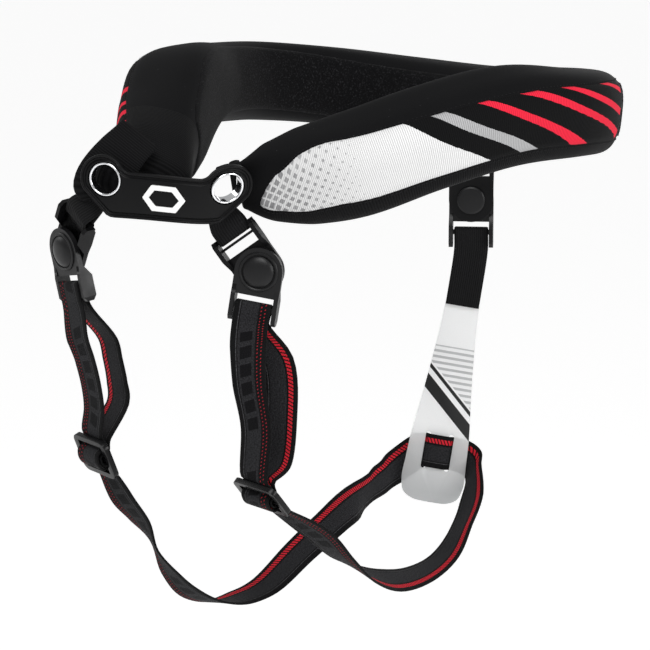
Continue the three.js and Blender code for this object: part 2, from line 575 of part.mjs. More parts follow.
const elastic = cloth(0x2a2b2d);
const sliderEdge = { left: vec(1, 0, 0), right: vec(-1, 0, 0) };
for (const side of ["left", "right"]) {
  const atSlider = sliderEdge[side].clone().transformDirection(sliderFrame[side]);
  const clipEdge = sliderEdge[side].clone().negate();
  const atClip = clipEdge.clone().transformDirection(lowerFrame[side]);
  addPiece(`strap_loop_${side}`, fromSolid(ribbon([
    ...rowsIn(sliderFrame[side], SEWN_END, STRAP.wide, sliderEdge[side]),
    ...rowsBetween(STRANDS[`${side}Back`], atSlider, atClip, STRAP.wide),
    ...rowsIn(lowerFrame[side], LOWER_BAR_TURN, STRAP.wide, clipEdge),
    ...rowsBetween(STRANDS[`${side}Front`], atClip, atSlider, STRAP.wide),
    ...rowsIn(sliderFrame[side], SLIDER_TURN, STRAP.wide, sliderEdge[side]),
    ...rowsIn(sliderFrame[side], [[0, -8.7, -2.9]], STRAP.wide, sliderEdge[side]),
  ], STRAP.thick)), elastic);
}
addPiece("strap_run", fromSolid(ribbon([
  ...rowsIn(sliderFrame.right, RUN_TURN, STRAP.wide, sliderEdge.right),
  ...rowsTurned("rightRun"),
  ...rowsIn(tabFrame, TAB_TURN, STRAP.wide, vec(0, 1, 0)),
  ...rowsTurned("leftRun"),
  ...rowsIn(sliderFrame.left, [...RUN_TURN].reverse(), STRAP.wide, sliderEdge.left),
], STRAP.thick)), elastic);

const sandwich = BACK_TAB.thick / 2 + GAP + STRAP.thick / 2;
addPiece("back_strap", fromSolid(ribbon([
  ...rowsIn(tabFrame, [[0, 86.5, sandwich], [0, 95, sandwich]], STRAP.wide),
  ...rowsIn(lowerFrame.back, LOWER_BAR_TURN, STRAP.wide),
  ...rowsIn(tabFrame, [[0, 95, -sandwich], [0, 86.5, -sandwich]], STRAP.wide),
], STRAP.thick)), elastic);

export default collar;
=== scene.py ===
# Padded neck collar with a moulded front plate, swivel clips and an elastic strap harness.
import math

import bmesh
import bpy
from mathutils import Matrix, Vector


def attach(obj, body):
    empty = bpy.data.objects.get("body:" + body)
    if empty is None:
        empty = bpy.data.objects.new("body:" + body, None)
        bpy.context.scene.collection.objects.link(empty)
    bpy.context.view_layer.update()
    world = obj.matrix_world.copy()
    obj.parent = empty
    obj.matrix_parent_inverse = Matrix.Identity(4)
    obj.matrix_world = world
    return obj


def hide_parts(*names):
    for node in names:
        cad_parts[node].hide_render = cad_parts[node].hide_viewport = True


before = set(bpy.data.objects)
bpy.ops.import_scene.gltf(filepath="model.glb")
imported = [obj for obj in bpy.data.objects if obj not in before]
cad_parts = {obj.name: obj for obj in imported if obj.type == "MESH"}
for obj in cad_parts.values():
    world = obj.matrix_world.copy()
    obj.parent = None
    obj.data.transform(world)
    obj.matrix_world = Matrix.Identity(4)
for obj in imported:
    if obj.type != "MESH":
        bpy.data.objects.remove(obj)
bpy.ops.object.select_all(action="DESELECT")
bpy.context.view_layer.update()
MM = 0.001

# Camera and studio
# A long lens from the wearer's front left, a little above the plate, over a pale floor far below.
eye = Vector((1082, -1290, 237)) * MM
aim = Vector((-2.2, -19, -93.5)) * MM
bpy.ops.object.camera_add(location=eye, rotation=(aim - eye).to_track_quat("-Z", "Y").to_euler())
camera = bpy.context.object
camera.data.lens = 169.5
camera.data.sensor_width = 36
camera.data.clip_end = 60
bpy.context.scene.camera = camera
bpy.context.scene.view_settings.view_transform = "Standard"


def linear(code):
    """Linear colour of an sRGB hex value."""
    parts = [int(code[i:i + 2], 16) / 255 for i in (1, 3, 5)]
    return (*[c / 12.92 if c <= 0.04045 else ((c + 0.055) / 1.055) ** 2.4 for c in parts], 1)


def add(tree, kind, links=None, stops=(), **settings):
    """Add a shader node with its settings and return its outputs.

    A link is a value, an sRGB hex value or another node's output. Stops are for a stepped colour ramp."""
    made = tree.nodes.new("ShaderNode" + kind)
    for key, value in settings.items():
        setattr(made, key, value)
    for key, value in (links or {}).items():
        if isinstance(value, bpy.types.NodeSocket):
            tree.links.new(value, made.inputs[key])
        else:
            made.inputs[key].default_value = linear(value) if isinstance(value, str) else value
    for number, (place, code) in enumerate(stops):
        ramp = made.color_ramp
        ramp.interpolation = "CONSTANT"
        stop = ramp.elements.new(place) if number else ramp.elements[0]
        stop.position = place
        stop.color = linear(code)
        if number == len(stops) - 1:
            ramp.elements.remove(ramp.elements[-1])
    return made.outputs


def finish_of(name, sockets):
    """A new material with these values on its shader's sockets, and its node tree and shader."""
    made = bpy.data.materials.new(name)
    made.use_nodes = True
    shader = made.node_tree.nodes["Principled BSDF"]
    for key, value in sockets.items():
        shader.inputs[key].default_value = value
    return made, made.node_tree, shader


def feed(shader, outputs):
    """Link other nodes' outputs to a shader's sockets."""
    for socket, output in outputs.items():
        shader.id_data.links.new(output, shader.inputs[socket])


bpy.ops.mesh.primitive_plane_add(size=50, location=(0, 0, -1.2))
floor = bpy.context.object
floor.name = "floor"
floor.data.materials.append(finish_of("pale_floor", {
    "Base Color": linear("#f4f4f4"), "Roughness": 0.9,
    "Emission Color": (1, 1, 1, 1), "Emission Strength": 0.5})[0])

world = bpy.data.worlds.new("studio")
bpy.context.scene.world = world
world.use_nodes = True
world.node_tree.nodes["Background"].inputs["Color"].default_value = (1, 1, 1, 1)
world.node_tree.nodes["Background"].inputs["Strength"].default_value = 0.5
LAMPS = [  # place and side in metres, and watts
    ((0.9, -1.3, 1.7), 1.4, 40), ((2.0, 0.3, 0.4), 0.9, 20),
    ((-1.6, -0.6, 0.9), 1.0, 9), ((-0.6, 1.8, 0.3), 0.9, 6),
]
for place, size, watts in LAMPS:
    bpy.ops.object.light_add(type="AREA", location=place)
    lamp = bpy.context.object
    lamp.rotation_euler = (aim - Vector(place)).to_track_quat("-Z", "Y").to_euler()
    lamp.data.size = size
    lamp.data.energy = watts

# Foam collar
# An open horseshoe of foam in a smooth stretch cover, thin at its left tip and blunt at its right end.
# It is lofted on its middle line, then its cover swells between the sewn seams as cloth under pressure.
SPINE = [  # x, y, z of the middle line, roll of the outer side down, thickness and height of the section
    (10.5, -100.5, -4.5, 20, 7, 29), (20.5, -91.5, -3, 22, 24, 45), (35.5, -79.5, 0.5, 24, 40, 53),
    (60, -65.5, 8.2, 24, 47, 56), (84.5, -38.5, 20.6, 22, 48, 55), (106, 0, 30.5, 16, 48, 53),
    (114, 45, 29, 8, 46, 49), (94, 88, 24, 4, 44, 49), (50, 112, 19, 2, 44, 48), (0, 118, 17, 2, 44, 48),
    (-50, 112, 19, 2, 44, 48), (-92, 88, 24, 4, 44, 48), (-112, 45, 29, 8, 46, 48),
    (-108, 0, 31.5, 12, 50, 48), (-89, -44, 32, 8, 53, 53), (-65, -82, 17, 0, 50, 52),
    (-46, -112, 3, -22, 46, 51), (-36.5, -128, -4, -28, 53, 42),
]
SECTION_POWER = 3.2  # of the rounded box that each section is
NOSE = {"left": 2, "right": 9}  # length of each rounded end
RINGS, NOSE_RINGS = 6, 6  # rings between two rows of the table, and round an end
SIDES = 72  # points round a section


def through(points, t):
    """Point at share t of a centripetal Catmull-Rom curve through the points."""
    last = len(points) - 1
    i = min(int(t * last), last - 1)
    share = t * last - i
    b, c = points[i], points[i + 1]
    a = points[i - 1] if i else 2 * b - c
    d = points[i + 2] if i + 2 <= last else 2 * c - b
    gaps = [max((q - p).length_squared, 0) ** 0.25 for p, q in ((a, b), (b, c), (c, d))]
    mid = gaps[1] if gaps[1] > 1e-4 else 1
    first, third = (g if g > 1e-4 else mid for g in (gaps[0], gaps[2]))
    start = ((b - a) / first - (c - a) / (first + mid) + (c - b) / mid) * mid
    end = ((c - b) / mid - (d - b) / (mid + third) + (d - c) / third) * mid
    return b + share * (start + share * (3 * (c - b) - 2 * start - end + share * (2 * (b - c) + start + end)))


def along(points, t):
    """Unit tangent of that curve."""
    return (through(points, min(t + 1e-4, 1)) - through(points, max(t - 1e-4, 0))).normalized()


spine_line = [Vector(row[:3]) for row in SPINE]
spine_sizes = [Vector(row[3:]) for row in SPINE]
last_row = len(SPINE) - 1


def section_at(k):
    """The collar's section at row k: middle, outer and upper direction, thickness, height and heading."""
    t = min(max(k / last_row, 0), 1)
    heading = along(spine_line, t)
    level = heading.cross(Vector((0, 0, 1))).normalized()
    rise = level.cross(heading)
    roll, wide, tall = through(spine_sizes, t)
    c, s = math.cos(math.radians(roll)), math.sin(math.radians(roll))
    return through(spine_line, t), level * c - rise * s, rise * c + level * s, wide, tall, heading


def skin_point(section, angle, lift=0):
    """Point of a section's skin at an angle from its outer side towards its top."""
    middle, out, up, wide, tall, _ = section
    c, s = math.cos(math.radians(angle)), math.sin(math.radians(angle))
    a, b = wide / 2 + lift, tall / 2 + lift
    reach = (abs(c / a) ** SECTION_POWER + abs(s / b) ** SECTION_POWER) ** (-1 / SECTION_POWER)
    return middle + out * (c * reach) + up * (s * reach)


def nose_sections(k, length):
    """Sections that close an end as a rounded nose."""
    middle, out, up, wide, tall, heading = section_at(k)
    made = []
    for i in range(NOSE_RINGS):
        angle = math.pi / 2 * (i + 1) / (NOSE_RINGS + 0.5)
        shrink = math.cos(angle)
        made.append((middle + heading * length * math.sin(angle), out, up, wide * shrink,
                     tall - wide * (1 - shrink), heading))
    return made


def mesh_piece(name, points, faces, uvs=None):
    """A new object from points in millimetres, with a UV in millimetres for each corner of each face."""
    mesh = bpy.data.meshes.new(name)
    mesh.from_pydata([p * MM for p in points], [], faces)
    if uvs:
        layer = mesh.uv_layers.new(name="cloth")
        for spot, value in zip(layer.data, (uv for face in uvs for uv in face)):
            spot.uv = value
    made = bpy.data.objects.new(name, mesh)
    bpy.context.collection.objects.link(made)
    for face in mesh.polygons:
        face.use_smooth = True
    return made


def only(piece):
    """Select one piece alone and make it the active one."""
    bpy.ops.object.select_all(action="DESELECT")
    bpy.context.view_layer.objects.active = piece
    piece.select_set(True)


def apply_all(piece):
    """Apply a piece's modifiers in order."""
    only(piece)
    for modifier in list(piece.modifiers):
        bpy.ops.object.modifier_apply(modifier=modifier.name)
    piece.select_set(False)


def dress(piece, node):
    """Let a piece ride on the collar's one body in place of a solid."""
    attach(piece, "root")
    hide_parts(node)


def wave_scale(pitch):
    """Scale of a band texture whose bands lie this far apart."""
    return 2 * math.pi / pitch / 20


PANELS = {  # row number k, then the lower and upper seam as degrees from the outer side
    "side_panel_left": [(0.6, -52, -42), (0.75, -52, -8), (0.95, -49, 22), (1.2, -43, 42), (1.85, -32, 53),
                        (2.7, -24, 61), (3.65, -24, 58), (5.05, -27, 49), (6.6, -32, 48)],
    "back_panel": [(6.65, -32, 48), (11.35, -32, 48)],
    "side_panel_right": [(11.4, -32, 48), (13, -27, 49), (15, -25, 48), (16, -30, 42)],
    "inner_lining": [(2.5, 135, 225), (15.5, 135, 225)],
}


def seams(rows, k):
    """Lower and upper seam of a panel at row k."""
    i = max(n for n in range(len(rows) - 1) if rows[n][0] <= k or n == 0)
    share = (k - rows[i][0]) / (rows[i + 1][0] - rows[i][0])
    return tuple(rows[i][c] + (rows[i + 1][c] - rows[i][c]) * share for c in (1, 2))


SEAM_PULL, SEAM_FULL = 1.2, 30  # how far sewing draws the cover in, and the thickness from which it does
SEAM_REACH = 7  # degrees round the section over which a seam holds it
pad_rows = [i / RINGS for i in range(last_row * RINGS + 1)]
pad_sections = ([*reversed(nose_sections(0, -NOSE["left"]))] + [section_at(k) for k in pad_rows]
                + nose_sections(last_row, NOSE["right"]))
points = [skin_point(s, 360 * j / SIDES, -SEAM_PULL * min(s[3] / SEAM_FULL, 1))
          for s in pad_sections for j in range(SIDES)]
count = len(pad_sections)
faces = [(i * SIDES + j, (i + 1) * SIDES + j, (i + 1) * SIDES + (j + 1) % SIDES, i * SIDES + (j + 1) % SIDES)
         for i in range(count - 1) for j in range(SIDES)]
points += [pad_sections[0][0], pad_sections[-1][0]]
faces += [(len(points) - 2, j, (j + 1) % SIDES) for j in range(SIDES)]
far = (count - 1) * SIDES
faces += [(len(points) - 1, far + (j + 1) % SIDES, far + j) for j in range(SIDES)]
pad = mesh_piece("collar_cover", points, faces)

sewn = pad.vertex_groups.new(name="sewn")
for i, k in enumerate(pad_rows):
    lines = [angle for rows in PANELS.values() if rows[0][0] <= k <= rows[-1][0] for angle in seams(rows, k)]
    for j in range(SIDES):
        near = min((abs((360 * j / SIDES - angle + 180) % 360 - 180) for angle in lines), default=180)
        held = math.exp(-(near / SEAM_REACH) ** 2)
        sewn.add([(i + NOSE_RINGS) * SIDES + j], held, "REPLACE")
ends = [i for i in range(len(points)) if not NOSE_RINGS * SIDES <= i < (count - NOSE_RINGS) * SIDES]
sewn.add(ends, 1, "REPLACE")

SWELL = 3.0  # most that the cover may rise
PRESSURE, STIFFNESS, FRAMES = 4, 30, 20
rest = [v.co.copy() for v in pad.data.vertices]
cloth = pad.modifiers.new("cover", "CLOTH")
cloth.settings.vertex_group_mass = "sewn"
cloth.settings.use_pressure = True
cloth.settings.uniform_pressure_force = PRESSURE
cloth.settings.effector_weights.gravity = 0
cloth.settings.tension_stiffness = cloth.settings.compression_stiffness = STIFFNESS
cloth.settings.quality = 6
for number in range(1, FRAMES + 1):
    bpy.context.scene.frame_set(number)
apply_all(pad)
bpy.context.scene.frame_set(1)
for v, start in zip(pad.data.vertices, rest):
    move = v.co - start
    v.co = start + move * min(1, SWELL * MM / max(move.length, 1e-9))
pad_points = [v.co / MM for v in pad.data.vertices]
pad.data.update()
pad_normals = [v.normal.copy() for v in pad.data.vertices]


def on_pad(k, angle, lift):
    """Point over the finished cover at row k and an angle round it, lifted along its normal."""
    row = min(max(k, 0), last_row) * RINGS
    turn = (angle % 360) / 360 * SIDES
    i, j = min(int(row), last_row * RINGS - 1), int(turn)
    place, normal = Vector(), Vector()
    for a, wa in ((i, 1 - row + i), (i + 1, row - i)):
        for b, wb in ((j, 1 - turn + j), (j + 1, turn - j)):
            corner = (a + NOSE_RINGS) * SIDES + b % SIDES
            place += pad_points[corner] * wa * wb
            normal += pad_normals[corner] * wa * wb
    return place + normal.normalized() * lift


RIB_FROM, RIB_SIDES = 15.4, (-70, 140)  # rows and degrees over which rib knit covers the right end
BORDER_ROWS, BORDER_SIDES = (0.9, 6.6), (-125, -20)  # the same for its border under the left panel
arc = [0]
for a, b in zip(pad_sections, pad_sections[1:]):
    arc.append(arc[-1] + (b[0] - a[0]).length)
layer = pad.data.uv_layers.new(name="cloth")
for face in pad.data.polygons:
    for loop in face.loop_indices:
        i, j = divmod(min(pad.data.loops[loop].vertex_index, count * SIDES - 1), SIDES)
        layer.data[loop].uv = (arc[i], j)
    i, j = divmod(face.vertices[0], SIDES)
    turn = (360 * j / SIDES + 180) % 360 - 180
    row = (i - NOSE_RINGS) / RINGS
    end = i < count and row > RIB_FROM and RIB_SIDES[0] < turn < RIB_SIDES[1]
    border = BORDER_ROWS[0] < row < BORDER_ROWS[1] and BORDER_SIDES[0] < turn < BORDER_SIDES[1]
    if end or border:
        face.material_index = 1

# Stretch neoprene: a dull near-black knit face with a few stray pale fibres
neoprene, tree, shader = finish_of("neoprene_cover", {
    "Roughness": 0.8, "Specular IOR Level": 0.06, "Sheen Weight": 0.015, "Sheen Roughness": 0.45})
where = add(tree, "TexCoord")["Object"]
fibre = add(tree, "TexVoronoi", {"Vector": where, "Scale": 1 / (2.6 * MM)}, feature="F1")
speck = add(tree, "Math", {0: fibre["Distance"], 1: 0.085}, operation="LESS_THAN")[0]
chance = add(tree, "SeparateColor", {0: fibre["Color"]})[0]
rare = add(tree, "Math", {0: chance, 1: 0.86}, operation="GREATER_THAN")[0]
knit = add(tree, "TexNoise", {"Vector": where, "Scale": 1 / (0.9 * MM), "Detail": 2})[0]
cloudy = add(tree, "TexNoise", {"Vector": where, "Scale": 1 / (28 * MM), "Detail": 2})[0]
blotch = add(tree, "Mix", {0: cloudy, 6: "#08080a", 7: "#0c0c0d"}, data_type="RGBA")[2]
ground = add(tree, "Mix", {0: knit, 6: blotch, 7: "#0f0f10"}, data_type="RGBA")[2]
seen = add(tree, "Math", {0: speck, 1: rare}, operation="MULTIPLY")[0]
feed(shader, {
    "Base Color": add(tree, "Mix", {0: seen, 6: ground, 7: "#3a3a3c"}, data_type="RGBA")[2],
    "Normal": add(tree, "Bump", {"Height": knit, "Distance": 0.12 * MM, "Strength": 0.5})[0]})
pad.data.materials.append(neoprene)

# Plain black rib knit: fine ribs across the arm, dull black, with painted shade in the grooves between the
# ribs
plain_rib, tree, shader = finish_of("plain_rib_knit", {
    "Roughness": 0.82, "Specular IOR Level": 0.08, "Sheen Weight": 0.015, "Sheen Roughness": 0.4})
cloth_at = add(tree, "UVMap", uv_map="cloth")[0]
PLAIN_RIB = 1.3  # mm from rib to rib, drawn coarser than the real 0.75 mm so that it shows
ribs = add(tree, "TexWave", {"Vector": cloth_at, "Scale": wave_scale(PLAIN_RIB), "Distortion": 0.6,
                             "Detail": 1, "Detail Scale": 2}, wave_type="BANDS", bands_direction="X")[1]
# Painted shade: the colour is darker in the grooves between the ribs
feed(shader, {
    "Base Color": add(tree, "Mix", {0: ribs, 6: "#060607", 7: "#121213"}, data_type="RGBA")[2],
    "Normal": add(tree, "Bump", {"Height": ribs, "Distance": 0.3 * MM, "Strength": 0.6})[0]})
pad.data.materials.append(plain_rib)
smoothed = pad.modifiers.new("smooth", "SUBSURF")
smoothed.levels = smoothed.render_levels = 1
apply_all(pad)
dress(pad, "collar_pad")

# Outer panels and lining
# Printed rib knit on both arms, coarse grey cloth round the back and a brushed lining towards the neck.
# Each is one sheet stretched over the foam, its edges turned in and sewn down.
PANEL_STEPS, PANEL_ACROSS = 9, 32  # rings between two rows of the collar's table, and faces across
PANEL_LIFT, PANEL_THICK = 0.9, 0.9
EDGE_SINK, EDGE_REACH = 1.0, 1.7  # how far a sewn edge sinks under that lift, and over what width
PRINT_LINES = [  # where a line of the print meets the upper and the lower seam, from the panel's front end
    (-40, 0), (86.4, 128.8), (100.7, 149.3), (109.2, 162.7), (126.5, 186.9), (132.6, 200.8), (149.7, 243.6),
    (159.6, 253.6), (175.7, 289), (183.9, 307.6), (210.5, 360), (223.3, 373), (260, 420),
]
PRINT_START = 5.5  # where the print's zero lies behind that end
RIGHT_PRINT = (118, 2.1)  # the right arm's close bars: line at its front end, and lines for each millimetre


def print_line(u, s):
    """Name of the print's line through a place on the panel, by where it meets the upper seam."""
    marks = [PRINT_START + low + (high - low) * s for high, low in PRINT_LINES]
    i = max([n for n in range(len(marks) - 1) if marks[n] <= u], default=0)
    share = min(max((u - marks[i]) / (marks[i + 1] - marks[i]), 0), 1)
    return PRINT_LINES[i][0] + (PRINT_LINES[i + 1][0] - PRINT_LINES[i][0]) * share


def panel(name, rows, front_last=False):
    """A sheet over the collar between its seams, with its place on the cloth and on the print as UV maps."""
    first, last = rows[0][0], rows[-1][0]
    count = round((last - first) * PANEL_STEPS)
    ks = [first + (last - first) * i / count for i in range(count + 1)]
    middles = [on_pad(k, sum(seams(rows, k)) / 2, PANEL_LIFT) for k in ks]
    arc = [0]
    for a, b in zip(middles, middles[1:]):
        arc.append(arc[-1] + (b - a).length)
    points, cloth_uv, print_uv = [], [], []
    for k, u in zip(ks, arc):
        low, high = seams(rows, k)
        line = [on_pad(k, low + (high - low) * j / PANEL_ACROSS, 0) for j in range(PANEL_ACROSS + 1)]
        wide = sum((b - a).length for a, b in zip(line, line[1:]))
        for j in range(PANEL_ACROSS + 1):
            s = j / PANEL_ACROSS
            near = min(s * wide, (1 - s) * wide, u, arc[-1] - u)
            lift = PANEL_LIFT - EDGE_SINK * math.exp(-(near / EDGE_REACH) ** 2)
            points.append(on_pad(k, low + (high - low) * s, lift))
            front = arc[-1] - u if front_last else u
            cloth_uv.append((front, (s - 0.5) * wide))
            line_at = RIGHT_PRINT[0] + RIGHT_PRINT[1] * front if front_last else print_line(front, s)
            print_uv.append((line_at, s))
    side = PANEL_ACROSS + 1
    faces = [(i * side + j, (i + 1) * side + j, (i + 1) * side + j + 1, i * side + j + 1)
             for i in range(count) for j in range(PANEL_ACROSS)]
    made = mesh_piece(name + "_cloth", points, faces, [[cloth_uv[c] for c in face] for face in faces])
    layer = made.data.uv_layers.new(name="print")
    for spot, corner in zip(layer.data, (c for face in faces for c in face)):
        spot.uv = print_uv[corner]
    shell = made.modifiers.new("cloth", "SOLIDIFY")
    shell.thickness = PANEL_THICK * MM
    shell.offset = -1
    apply_all(made)
    return made


# Rib knit, printed: fine ribs across the arm with painted shade in their grooves, a white front with fading
# squares under a painted sheen, a grey and four red bars
rib_knit, tree, shader = finish_of("printed_rib_knit", {
    "Roughness": 0.82, "Specular IOR Level": 0.08, "Sheen Weight": 0.015, "Sheen Roughness": 0.4})
cloth_at = add(tree, "UVMap", uv_map="cloth")[0]
length = add(tree, "SeparateXYZ", {0: cloth_at})[0]
PRINT_RIB = 1.1  # mm from rib to rib, drawn coarser than the real 0.75 mm so that it shows
ribs = add(tree, "TexWave", {"Vector": cloth_at, "Scale": wave_scale(PRINT_RIB), "Distortion": 0.6,
                             "Detail": 1, "Detail Scale": 2}, wave_type="BANDS", bands_direction="X")[1]
yarn = add(tree, "TexNoise", {"Vector": cloth_at, "Scale": 1 / 0.7, "Detail": 2})[0]
ragged = add(tree, "Math", {0: yarn, 1: 1.1, 2: -0.55}, operation="MULTIPLY_ADD")[0]
line_at = add(tree, "SeparateXYZ", {0: add(tree, "UVMap", uv_map="print")[0]})[0]
line_at = add(tree, "Math", {0: line_at, 1: ragged}, operation="ADD")[0]
PRINT_SPAN = 260
spread = add(tree, "Math", {0: line_at, 1: PRINT_SPAN}, operation="DIVIDE")[0]
PRINT_BARS = [(0, "#d6d6d6"), (86.4, "#0b0b0c"), (100.7, "#a2a2a3"), (109.2, "#0b0b0c"),
              (126.5, "#d8263c"), (132.6, "#0b0b0c"), (149.7, "#d8263c"), (159.6, "#0b0b0c"),
              (175.7, "#d8263c"), (183.9, "#0b0b0c"), (210.5, "#d8263c"), (223.3, "#0b0b0c")]
bars = add(tree, "ValToRGB", {0: spread}, [(start / PRINT_SPAN, code) for start, code in PRINT_BARS])[0]
SQUARE, SQUARE_TURN = 4.5, 40  # mm from square to square of the faded print, and its slant in degrees
FADED, SQUARES_END = 64, 84  # mm behind the front end to the last squares, and the print's line they stop at
grid = add(tree, "Mapping", {"Vector": cloth_at, "Rotation": (0, 0, math.radians(SQUARE_TURN)),
                             "Scale": (1 / SQUARE,) * 3})[0]
cell = add(tree, "VectorMath", {0: grid}, operation="FRACTION")[0]
off = add(tree, "VectorMath", {0: cell, 1: (0.5, 0.5, 0.5)}, operation="SUBTRACT")[0]
off = add(tree, "SeparateXYZ", {0: add(tree, "VectorMath", {0: off}, operation="ABSOLUTE")[0]})
reach = add(tree, "Math", {0: off[0], 1: off[1]}, operation="MAXIMUM")[0]
half = add(tree, "MapRange", {0: length, 1: 0, 2: 66, 3: 0.41, 4: 0.06})[0]
inside = add(tree, "Math", {0: reach, 1: half}, operation="LESS_THAN")[0]
early = add(tree, "Math", {0: length, 1: FADED}, operation="LESS_THAN")[0]
white = add(tree, "Math", {0: line_at, 1: SQUARES_END}, operation="LESS_THAN")[0]
square = inside
for part in (early, white):
    square = add(tree, "Math", {0: square, 1: part}, operation="MULTIPLY")[0]
worn = add(tree, "TexWhiteNoise", {"Vector": add(tree, "VectorMath", {0: grid}, operation="FLOOR")[0]})[0]
# Painted sheen highlight: the squares are painted lighter from the front end back, with a random tone for
# each square on top
squares_sheen_and_wear = add(tree, "MapRange", {0: length, 1: 0, 2: 60, 3: 0, 4: 0.7})[0]
squares_sheen_and_wear = add(tree, "Math", {0: worn, 1: 0.45, 2: squares_sheen_and_wear}, operation="MULTIPLY_ADD")[0]
squares = add(tree, "Mix", {0: squares_sheen_and_wear, 6: "#7f7f80", 7: "#b0b0b1"}, data_type="RGBA")[2]
printed = add(tree, "Mix", {0: square, 6: bars, 7: squares}, data_type="RGBA")[2]
# Painted shade and light: the print is darkened in the grooves between the ribs and lightened a little on
# their tops
shade = add(tree, "MapRange", {0: ribs, 1: 0, 2: 1, 3: 0.66, 4: 1.06})[0]
shaded = add(tree, "VectorMath", {0: printed, 1: add(tree, "CombineXYZ", {0: shade, 1: shade, 2: shade})[0]},
             operation="MULTIPLY")[0]
feed(shader, {
    "Base Color": shaded,
    "Normal": add(tree, "Bump", {"Height": ribs, "Distance": 0.25 * MM, "Strength": 0.55})[0]})

# Coarse grey cloth: a basket weave of thick pale and dark yarns
grey_cloth, tree, shader = finish_of("grey_basket_cloth", {"Roughness": 0.85, "Specular IOR Level": 0.25})
cloth_at = add(tree, "UVMap", uv_map="cloth")[0]
BASKET = 1.8  # mm from yarn to yarn, about twice the real pitch so that it shows
warp, weft = (add(tree, "TexWave", {"Vector": cloth_at, "Scale": wave_scale(BASKET), "Distortion": 0.8},
                  wave_type="BANDS", bands_direction=way)[1] for way in "XY")
weave = add(tree, "Math", {0: warp, 1: weft}, operation="MULTIPLY")[0]
fade = add(tree, "TexNoise", {"Vector": cloth_at, "Scale": 1 / 6, "Detail": 3})[0]
yarns = add(tree, "Mix", {0: weave, 6: "#1d1d1f", 7: "#4c4c4f"}, data_type="RGBA")[2]
feed(shader, {
    "Base Color": add(tree, "Mix", {0: fade, 6: yarns, 7: "#29292b"}, data_type="RGBA")[2],
    "Normal": add(tree, "Bump", {"Height": weave, "Distance": 0.3 * MM, "Strength": 0.6})[0]})

# Brushed tricot lining: short black pile whose tips catch the light, painted in as grey specks
tricot, tree, shader = finish_of("brushed_tricot_lining", {
    "Roughness": 0.9, "Specular IOR Level": 0.05, "Sheen Weight": 0.03, "Sheen Roughness": 0.5})
where = add(tree, "TexCoord")["Object"]
PILE = 1.0  # mm from tuft to tuft
pile = add(tree, "TexNoise", {"Vector": where, "Scale": 1 / (PILE * MM), "Detail": 3, "Roughness": 0.7})[0]
brushed = add(tree, "TexNoise", {"Vector": where, "Scale": 1 / (22 * MM), "Detail": 2})[0]
# Painted highlight: the light caught by the pile tips is painted into the colour as grey specks
tips = add(tree, "MapRange", {0: pile, 1: 0.54, 2: 0.72, 3: 0, 4: 0.7})[0]
nap = add(tree, "Mix", {0: brushed, 6: "#070708", 7: "#0d0d0e"}, data_type="RGBA")[2]
feed(shader, {
    "Base Color": add(tree, "Mix", {0: tips, 6: nap, 7: "#303032"}, data_type="RGBA")[2],
    "Normal": add(tree, "Bump", {"Height": pile, "Distance": 0.4 * MM, "Strength": 0.7})[0]})

PANEL_CLOTH = {  # material, record slot, flat width and length in metres
    "side_panel_left": (rib_knit, "ribbed_panel", (0.043, 0.255)),
    "back_panel": (grey_cloth, "back_fabric", (0.040, 0.320)),
    "side_panel_right": (rib_knit, "ribbed_panel", (0.040, 0.225)),
    "inner_lining": (tricot, "lining", (0.045, 0.500)),
}
for name, (material, slot, flat) in PANEL_CLOTH.items():
    sheet = panel(name, PANELS[name], front_last=name == "side_panel_right")
    sheet.data.materials.append(material)
    dress(sheet, name)

# Seam stitches
# Polyester thread that sews the panels to the cover: dashes under each panel and small points over it.
# One stitch is modelled, and copied along the seams, with crossed stitches where two panels meet.
STITCH_PITCH, STITCH_THICK = 2.4, 0.55
SEAM_ROWS = {"low": (0, 1.3, 1.7), "high": (1, 0.9, 0.9)}  # seam, how far outside it, and length of a stitch
SEAM_STEPS, SEAM_RADIUS = 600, 25  # places tried along a seam, and the section's radius there
CROSS_AT, CROSS_COUNT, CROSS_LONG, CROSS_THICK = (6.625, 11.375), 12, 4.2, 0.6
bpy.ops.mesh.primitive_uv_sphere_add(segments=6, ring_count=4, radius=1)
stitch = bpy.context.object
stitch_points = [v.co.copy() for v in stitch.data.vertices]
stitch_faces = [tuple(face.vertices) for face in stitch.data.polygons]
bpy.data.objects.remove(stitch)
# Spun polyester: dull black with a slightly paler twist
thread, tree, shader = finish_of("polyester_thread", {
    "Roughness": 0.7, "Specular IOR Level": 0.1, "Sheen Weight": 0.03})
where = add(tree, "TexCoord")["Object"]
twist = add(tree, "TexNoise", {"Vector": where, "Scale": 1 / (0.5 * MM), "Detail": 1})[0]
feed(shader, {"Base Color": add(tree, "Mix", {0: twist, 6: "#0c0c0d", 7: "#1b1b1c"}, data_type="RGBA")[2]})


def sew(name, places, long, thick):
    """Copies of the stitch at places, each a middle, a direction along and a direction off the cloth."""
    points, faces = [], []
    for middle, way, off in places:
        faces += [tuple(c + len(points) for c in face) for face in stitch_faces]
        x = way.normalized()
        y = off.cross(x).normalized()
        turn = Matrix((x, y, x.cross(y))).transposed() @ Matrix.Diagonal((long / 2, thick / 2, thick / 2))
        points += [middle + turn @ p for p in stitch_points]
    made = mesh_piece(name, points, faces)
    made.data.materials.append(thread)
    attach(made, "root")


def seam_places(rows, seat, aside):
    """Stitch places along one seam of a panel, this many millimetres outside its edge."""
    first, last = rows[0][0], rows[-1][0]
    line = []
    for i in range(SEAM_STEPS + 1):
        k = first + (last - first) * i / SEAM_STEPS
        angle = seams(rows, k)[seat] + (1 if seat else -1) * math.degrees(aside / SEAM_RADIUS)
        line.append((on_pad(k, angle, 0), on_pad(k, angle, 1)))
    found, run = [], 0
    for (a, a_off), (b, _) in zip(line, line[1:]):
        run += (b - a).length
        if run >= STITCH_PITCH:
            run -= STITCH_PITCH
            found.append((a, b - a, a_off - a))
    return found


